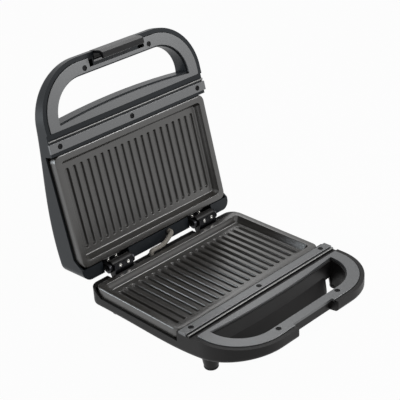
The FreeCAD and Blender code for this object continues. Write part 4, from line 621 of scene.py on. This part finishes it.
class PRESS_OT_trim(bpy.types.Operator):
    """Finish the handle covers, the front strips and the trim rods"""
    bl_idname = "press.trim"
    bl_label = "Covers, strips and rods"

    def execute(self, context):
        _, colours = settings()
        silver = silver_lacquer("Silver lacquer", colours.silver, roughness=0.40)
        dress(["base_handle_cover", "lid_handle_cover", "base_front_strip", "lid_front_strip"],
              silver)
        plated = bright_metal("Plated rod", colours.rod, roughness=0.36)
        dress(["base_trim_rod", "lid_trim_rod"], plated)
        return {"FINISHED"}


class PRESS_OT_plates(bpy.types.Operator):
    """Make the two griddle plates with their rounded ribs"""
    bl_idname = "press.plates"
    bl_label = "Griddle plates"

    def execute(self, context):
        sizes, colours = settings()
        coat = non_stick("Non-stick coating", colours.coating, roughness=0.30)
        make_plate(sizes, "base_ribbed_plate", "base", coat)
        make_plate(sizes, "lid_ribbed_plate", "lid", coat)
        return {"FINISHED"}


class PRESS_OT_hinges(bpy.types.Operator):
    """Finish the hinge plates, arms and pins, their screws and the latch's pin"""
    bl_idname = "press.hinges"
    bl_label = "Hinges"

    def execute(self, context):
        _, colours = settings()
        steel = bright_metal("Rolled steel", colours.steel, roughness=0.34, grain=[20.0] * 3)
        dress(["base_hinge_plate_left", "base_hinge_plate_right", "lid_hinge_arm_left",
               "lid_hinge_arm_right", "hinge_pin_left", "hinge_pin_right", "latch_pin"], steel)
        zinc = bright_metal(
            "Zinc-plated steel", colours.bright_screw, roughness=0.22, grain=[40.0] * 3)
        dress(["base_hinge_screws", "lid_hinge_screws"], zinc)
        return {"FINISHED"}


class PRESS_OT_screws(bpy.types.Operator):
    """Finish the dark screws in the covers, strips and pans"""
    bl_idname = "press.screws"
    bl_label = "Casing screws"

    def execute(self, context):
        _, colours = settings()
        dark = bright_metal(
            "Blackened steel", colours.dark_screw, roughness=0.38, grain=[40.0] * 3)
        dress(["base_strip_screws", "lid_strip_screws", "base_cover_screws", "lid_cover_screws",
               "base_pan_screws", "lid_pan_screws"], dark)
        return {"FINISHED"}


class PRESS_OT_wires(bpy.types.Operator):
    """Make the woven sleeve between the halves and finish the leads inside"""
    bl_idname = "press.wires"
    bl_label = "Wire sleeve"

    def execute(self, context):
        sizes, colours = settings()
        make_sleeve(
            sizes, woven_sleeve("Braided glass fibre", colours.sleeve, colours.sleeve_gap_shade))
        dress(["base_leads", "lid_leads"], soft_rubber("Silicone lead", colours.sleeve))
        return {"FINISHED"}


class PRESS_OT_inside(bpy.types.Operator):
    """Finish the heaters, pans, lamps and blocks inside the casings"""
    bl_idname = "press.inside"
    bl_label = "Inside and lamps"

    def execute(self, context):
        _, colours = settings()
        sheath = bright_metal(
            "Heat-toned steel sheath", colours.steel, roughness=0.45, grain=[30.0] * 3)
        dress(["base_heating_element", "lid_heating_element", "base_element_clamps",
               "lid_element_clamps", "base_reflector_pan", "lid_reflector_pan"], sheath)
        filled = moulded_plastic(
            "Ceramic-filled plastic", colours.inner, shade=0.9, roughness=0.55)
        dress(["terminal_block", "lamp_holder", "thermostat", "thermal_fuse"], filled)
        dress(["power_lamp_lens"], clear_lens("Red polycarbonate", colours.red))
        dress(["ready_lamp_lens"], clear_lens("Green polycarbonate", colours.green))
        return {"FINISHED"}


def white_where_seen(tree, shader_socket, share, glossy):
    """Mixes plain white over a surface or world shader: `share` of it for rays from the camera and
    through clear pieces, `glossy` of it for mirrored rays."""
    path = add_node(tree, "LightPath")
    direct = add_node(tree, "Math", {"operation": "MAXIMUM"})
    tree.links.new(path.outputs["Is Camera Ray"], direct.inputs[0])
    tree.links.new(path.outputs["Is Transmission Ray"], direct.inputs[1])
    shown = add_node(tree, "Math", {"operation": "MULTIPLY"})
    tree.links.new(direct.outputs["Value"], shown.inputs[0])
    shown.inputs[1].default_value = share
    mirrored = add_node(tree, "Math", {"operation": "MULTIPLY_ADD"})
    tree.links.new(path.outputs["Is Glossy Ray"], mirrored.inputs[0])
    mirrored.inputs[1].default_value = glossy
    tree.links.new(shown.outputs["Value"], mirrored.inputs[2])
    white = add_node(tree, "Emission", inputs={"Color": (1, 1, 1, 1), "Strength": 1.0})
    mix = add_node(tree, "MixShader")
    tree.links.new(mirrored.outputs["Value"], mix.inputs[0])
    tree.links.new(shader_socket, mix.inputs[1])
    tree.links.new(white.outputs["Emission"], mix.inputs[2])
    return mix.outputs["Shader"]


class PRESS_OT_stage(bpy.types.Operator):
    """Set the floor, the light and the camera"""
    bl_idname = "press.stage"
    bl_label = "Stage"

    def execute(self, context):
        scene = context.scene
        make_floor()
        make_world(scene)
        make_lamps()
        make_camera(scene)
        scene.view_settings.view_transform = "Standard"
        return {"FINISHED"}


def make_floor():
    """A large pale floor under the press. The little of it that isn't plain white when seen keeps
    the press's shadow."""
    reach, grey = 4.0, 0.45
    corners = [(-reach, -reach, 0), (reach, -reach, 0), (reach, reach, 0), (-reach, reach, 0)]
    mesh = bpy.data.meshes.new("floor")
    mesh.from_pydata(corners, [], [(0, 1, 2, 3)])
    floor = bpy.data.objects.new("floor", mesh)
    bpy.context.scene.collection.objects.link(floor)
    finish = bpy.data.materials.new("Pale floor")
    finish.use_nodes = True
    tree = finish.node_tree
    tree.nodes.clear()
    output = add_node(tree, "OutputMaterial")
    matt = add_node(tree, "BsdfDiffuse", inputs={"Color": opaque([grey] * 3)})
    shown = white_where_seen(tree, matt.outputs["BSDF"], share=0.97, glossy=0.79)
    tree.links.new(shown, output.inputs["Surface"])
    mesh.materials.append(finish)


def make_world(scene):
    """Soft even light from all round, shown as white."""
    world = bpy.data.worlds.new("studio")
    world.use_nodes = True
    tree = world.node_tree
    tree.nodes.clear()
    output = add_node(tree, "OutputWorld")
    soft = add_node(tree, "Background", inputs={"Color": (1, 1, 1, 1), "Strength": 0.14})
    shown = white_where_seen(tree, soft.outputs["Background"], share=1.0, glossy=0.62)
    tree.links.new(shown, output.inputs["Surface"])
    scene.world = world


def add_lamp(name, place, aim, size, power, colour=(1, 1, 1)):
    """A square soft box that points at `aim`."""
    data = bpy.data.lights.new(name, "AREA")
    data.size = size
    data.energy = power
    data.color = colour
    lamp = bpy.data.objects.new(name, data)
    bpy.context.scene.collection.objects.link(lamp)
    lamp.location = place
    lamp.rotation_euler = (Vector(aim) - Vector(place)).to_track_quat("-Z", "Y").to_euler()


def make_lamps():
    """A soft key from the front right, a cool low fill from the left behind, and a weak light from
    above on the right behind."""
    cool = (0.86, 0.94, 1.0)
    add_lamp("key", (0.50, -0.52, 0.60), aim=(-0.02, 0.05, 0.05), size=0.3, power=3.0)
    add_lamp("fill", (-1.0, 0.75, 0.12), aim=(-0.1, 0.1, 0.12), size=0.5, power=5.5, colour=cool)
    add_lamp("top", (0.45, 0.75, 0.85), aim=(0, -0.08, 0.04), size=0.6, power=2.2)


def make_camera(scene):
    """A long lens from the front left, a little above the press."""
    azimuth, elevation, roll = (math.radians(value) for value in (-42.85, 28.44, -3.76))
    aim = Vector((0.0, 0.02146, 0.100))
    distance = 1.23381
    level_share = math.cos(elevation)
    back = Vector((math.sin(azimuth) * level_share, -math.cos(azimuth) * level_share,
                   math.sin(elevation)))
    level = Vector((math.cos(azimuth), math.sin(azimuth), 0))
    upward = back.cross(level)
    right = level * math.cos(roll) + upward * math.sin(roll)
    upward = upward * math.cos(roll) - level * math.sin(roll)
    data = bpy.data.cameras.new("camera")
    data.lens = 98.43
    data.sensor_width = 36.0
    data.shift_x, data.shift_y = 0.004, 0.03255
    data.clip_start, data.clip_end = 0.05, 50.0
    camera = bpy.data.objects.new("camera", data)
    scene.collection.objects.link(camera)
    turn = Matrix((right, upward, back)).transposed().to_4x4()
    camera.matrix_world = Matrix.Translation(aim + back * distance) @ turn
    scene.camera = camera


class PRESS_PT_panel(bpy.types.Panel):
    """Buttons that make and finish the press"""
    bl_idname = "PRESS_PT_panel"
    bl_label = "Panini press"
    bl_space_type = "VIEW_3D"
    bl_region_type = "UI"
    bl_category = "Panini press"

    def draw(self, context):
        for operator in OPERATORS:
            self.layout.operator(operator.bl_idname)
        for group in (context.scene.press_sizes, context.scene.press_colours):
            for name in group.__annotations__:
                self.layout.prop(group, name)


OPERATORS = (PRESS_OT_casings, PRESS_OT_trim, PRESS_OT_plates, PRESS_OT_hinges, PRESS_OT_screws,
             PRESS_OT_wires, PRESS_OT_inside, PRESS_OT_stage)
CLASSES = (PressSizes, PressColours) + OPERATORS + (PRESS_PT_panel,)


def register():
    """Registers the classes and the scene's settings."""
    for each in CLASSES:
        bpy.utils.register_class(each)
    bpy.types.Scene.press_sizes = PointerProperty(type=PressSizes)
    bpy.types.Scene.press_colours = PointerProperty(type=PressColours)


def unregister():
    """Takes the settings and the classes out again."""
    del bpy.types.Scene.press_colours
    del bpy.types.Scene.press_sizes
    for each in reversed(CLASSES):
        bpy.utils.unregister_class(each)


def main():
    register()
    for operator in OPERATORS:
        group, name = operator.bl_idname.split(".")
        getattr(getattr(bpy.ops, group), name)()


if __name__ == "__main__":
    main()
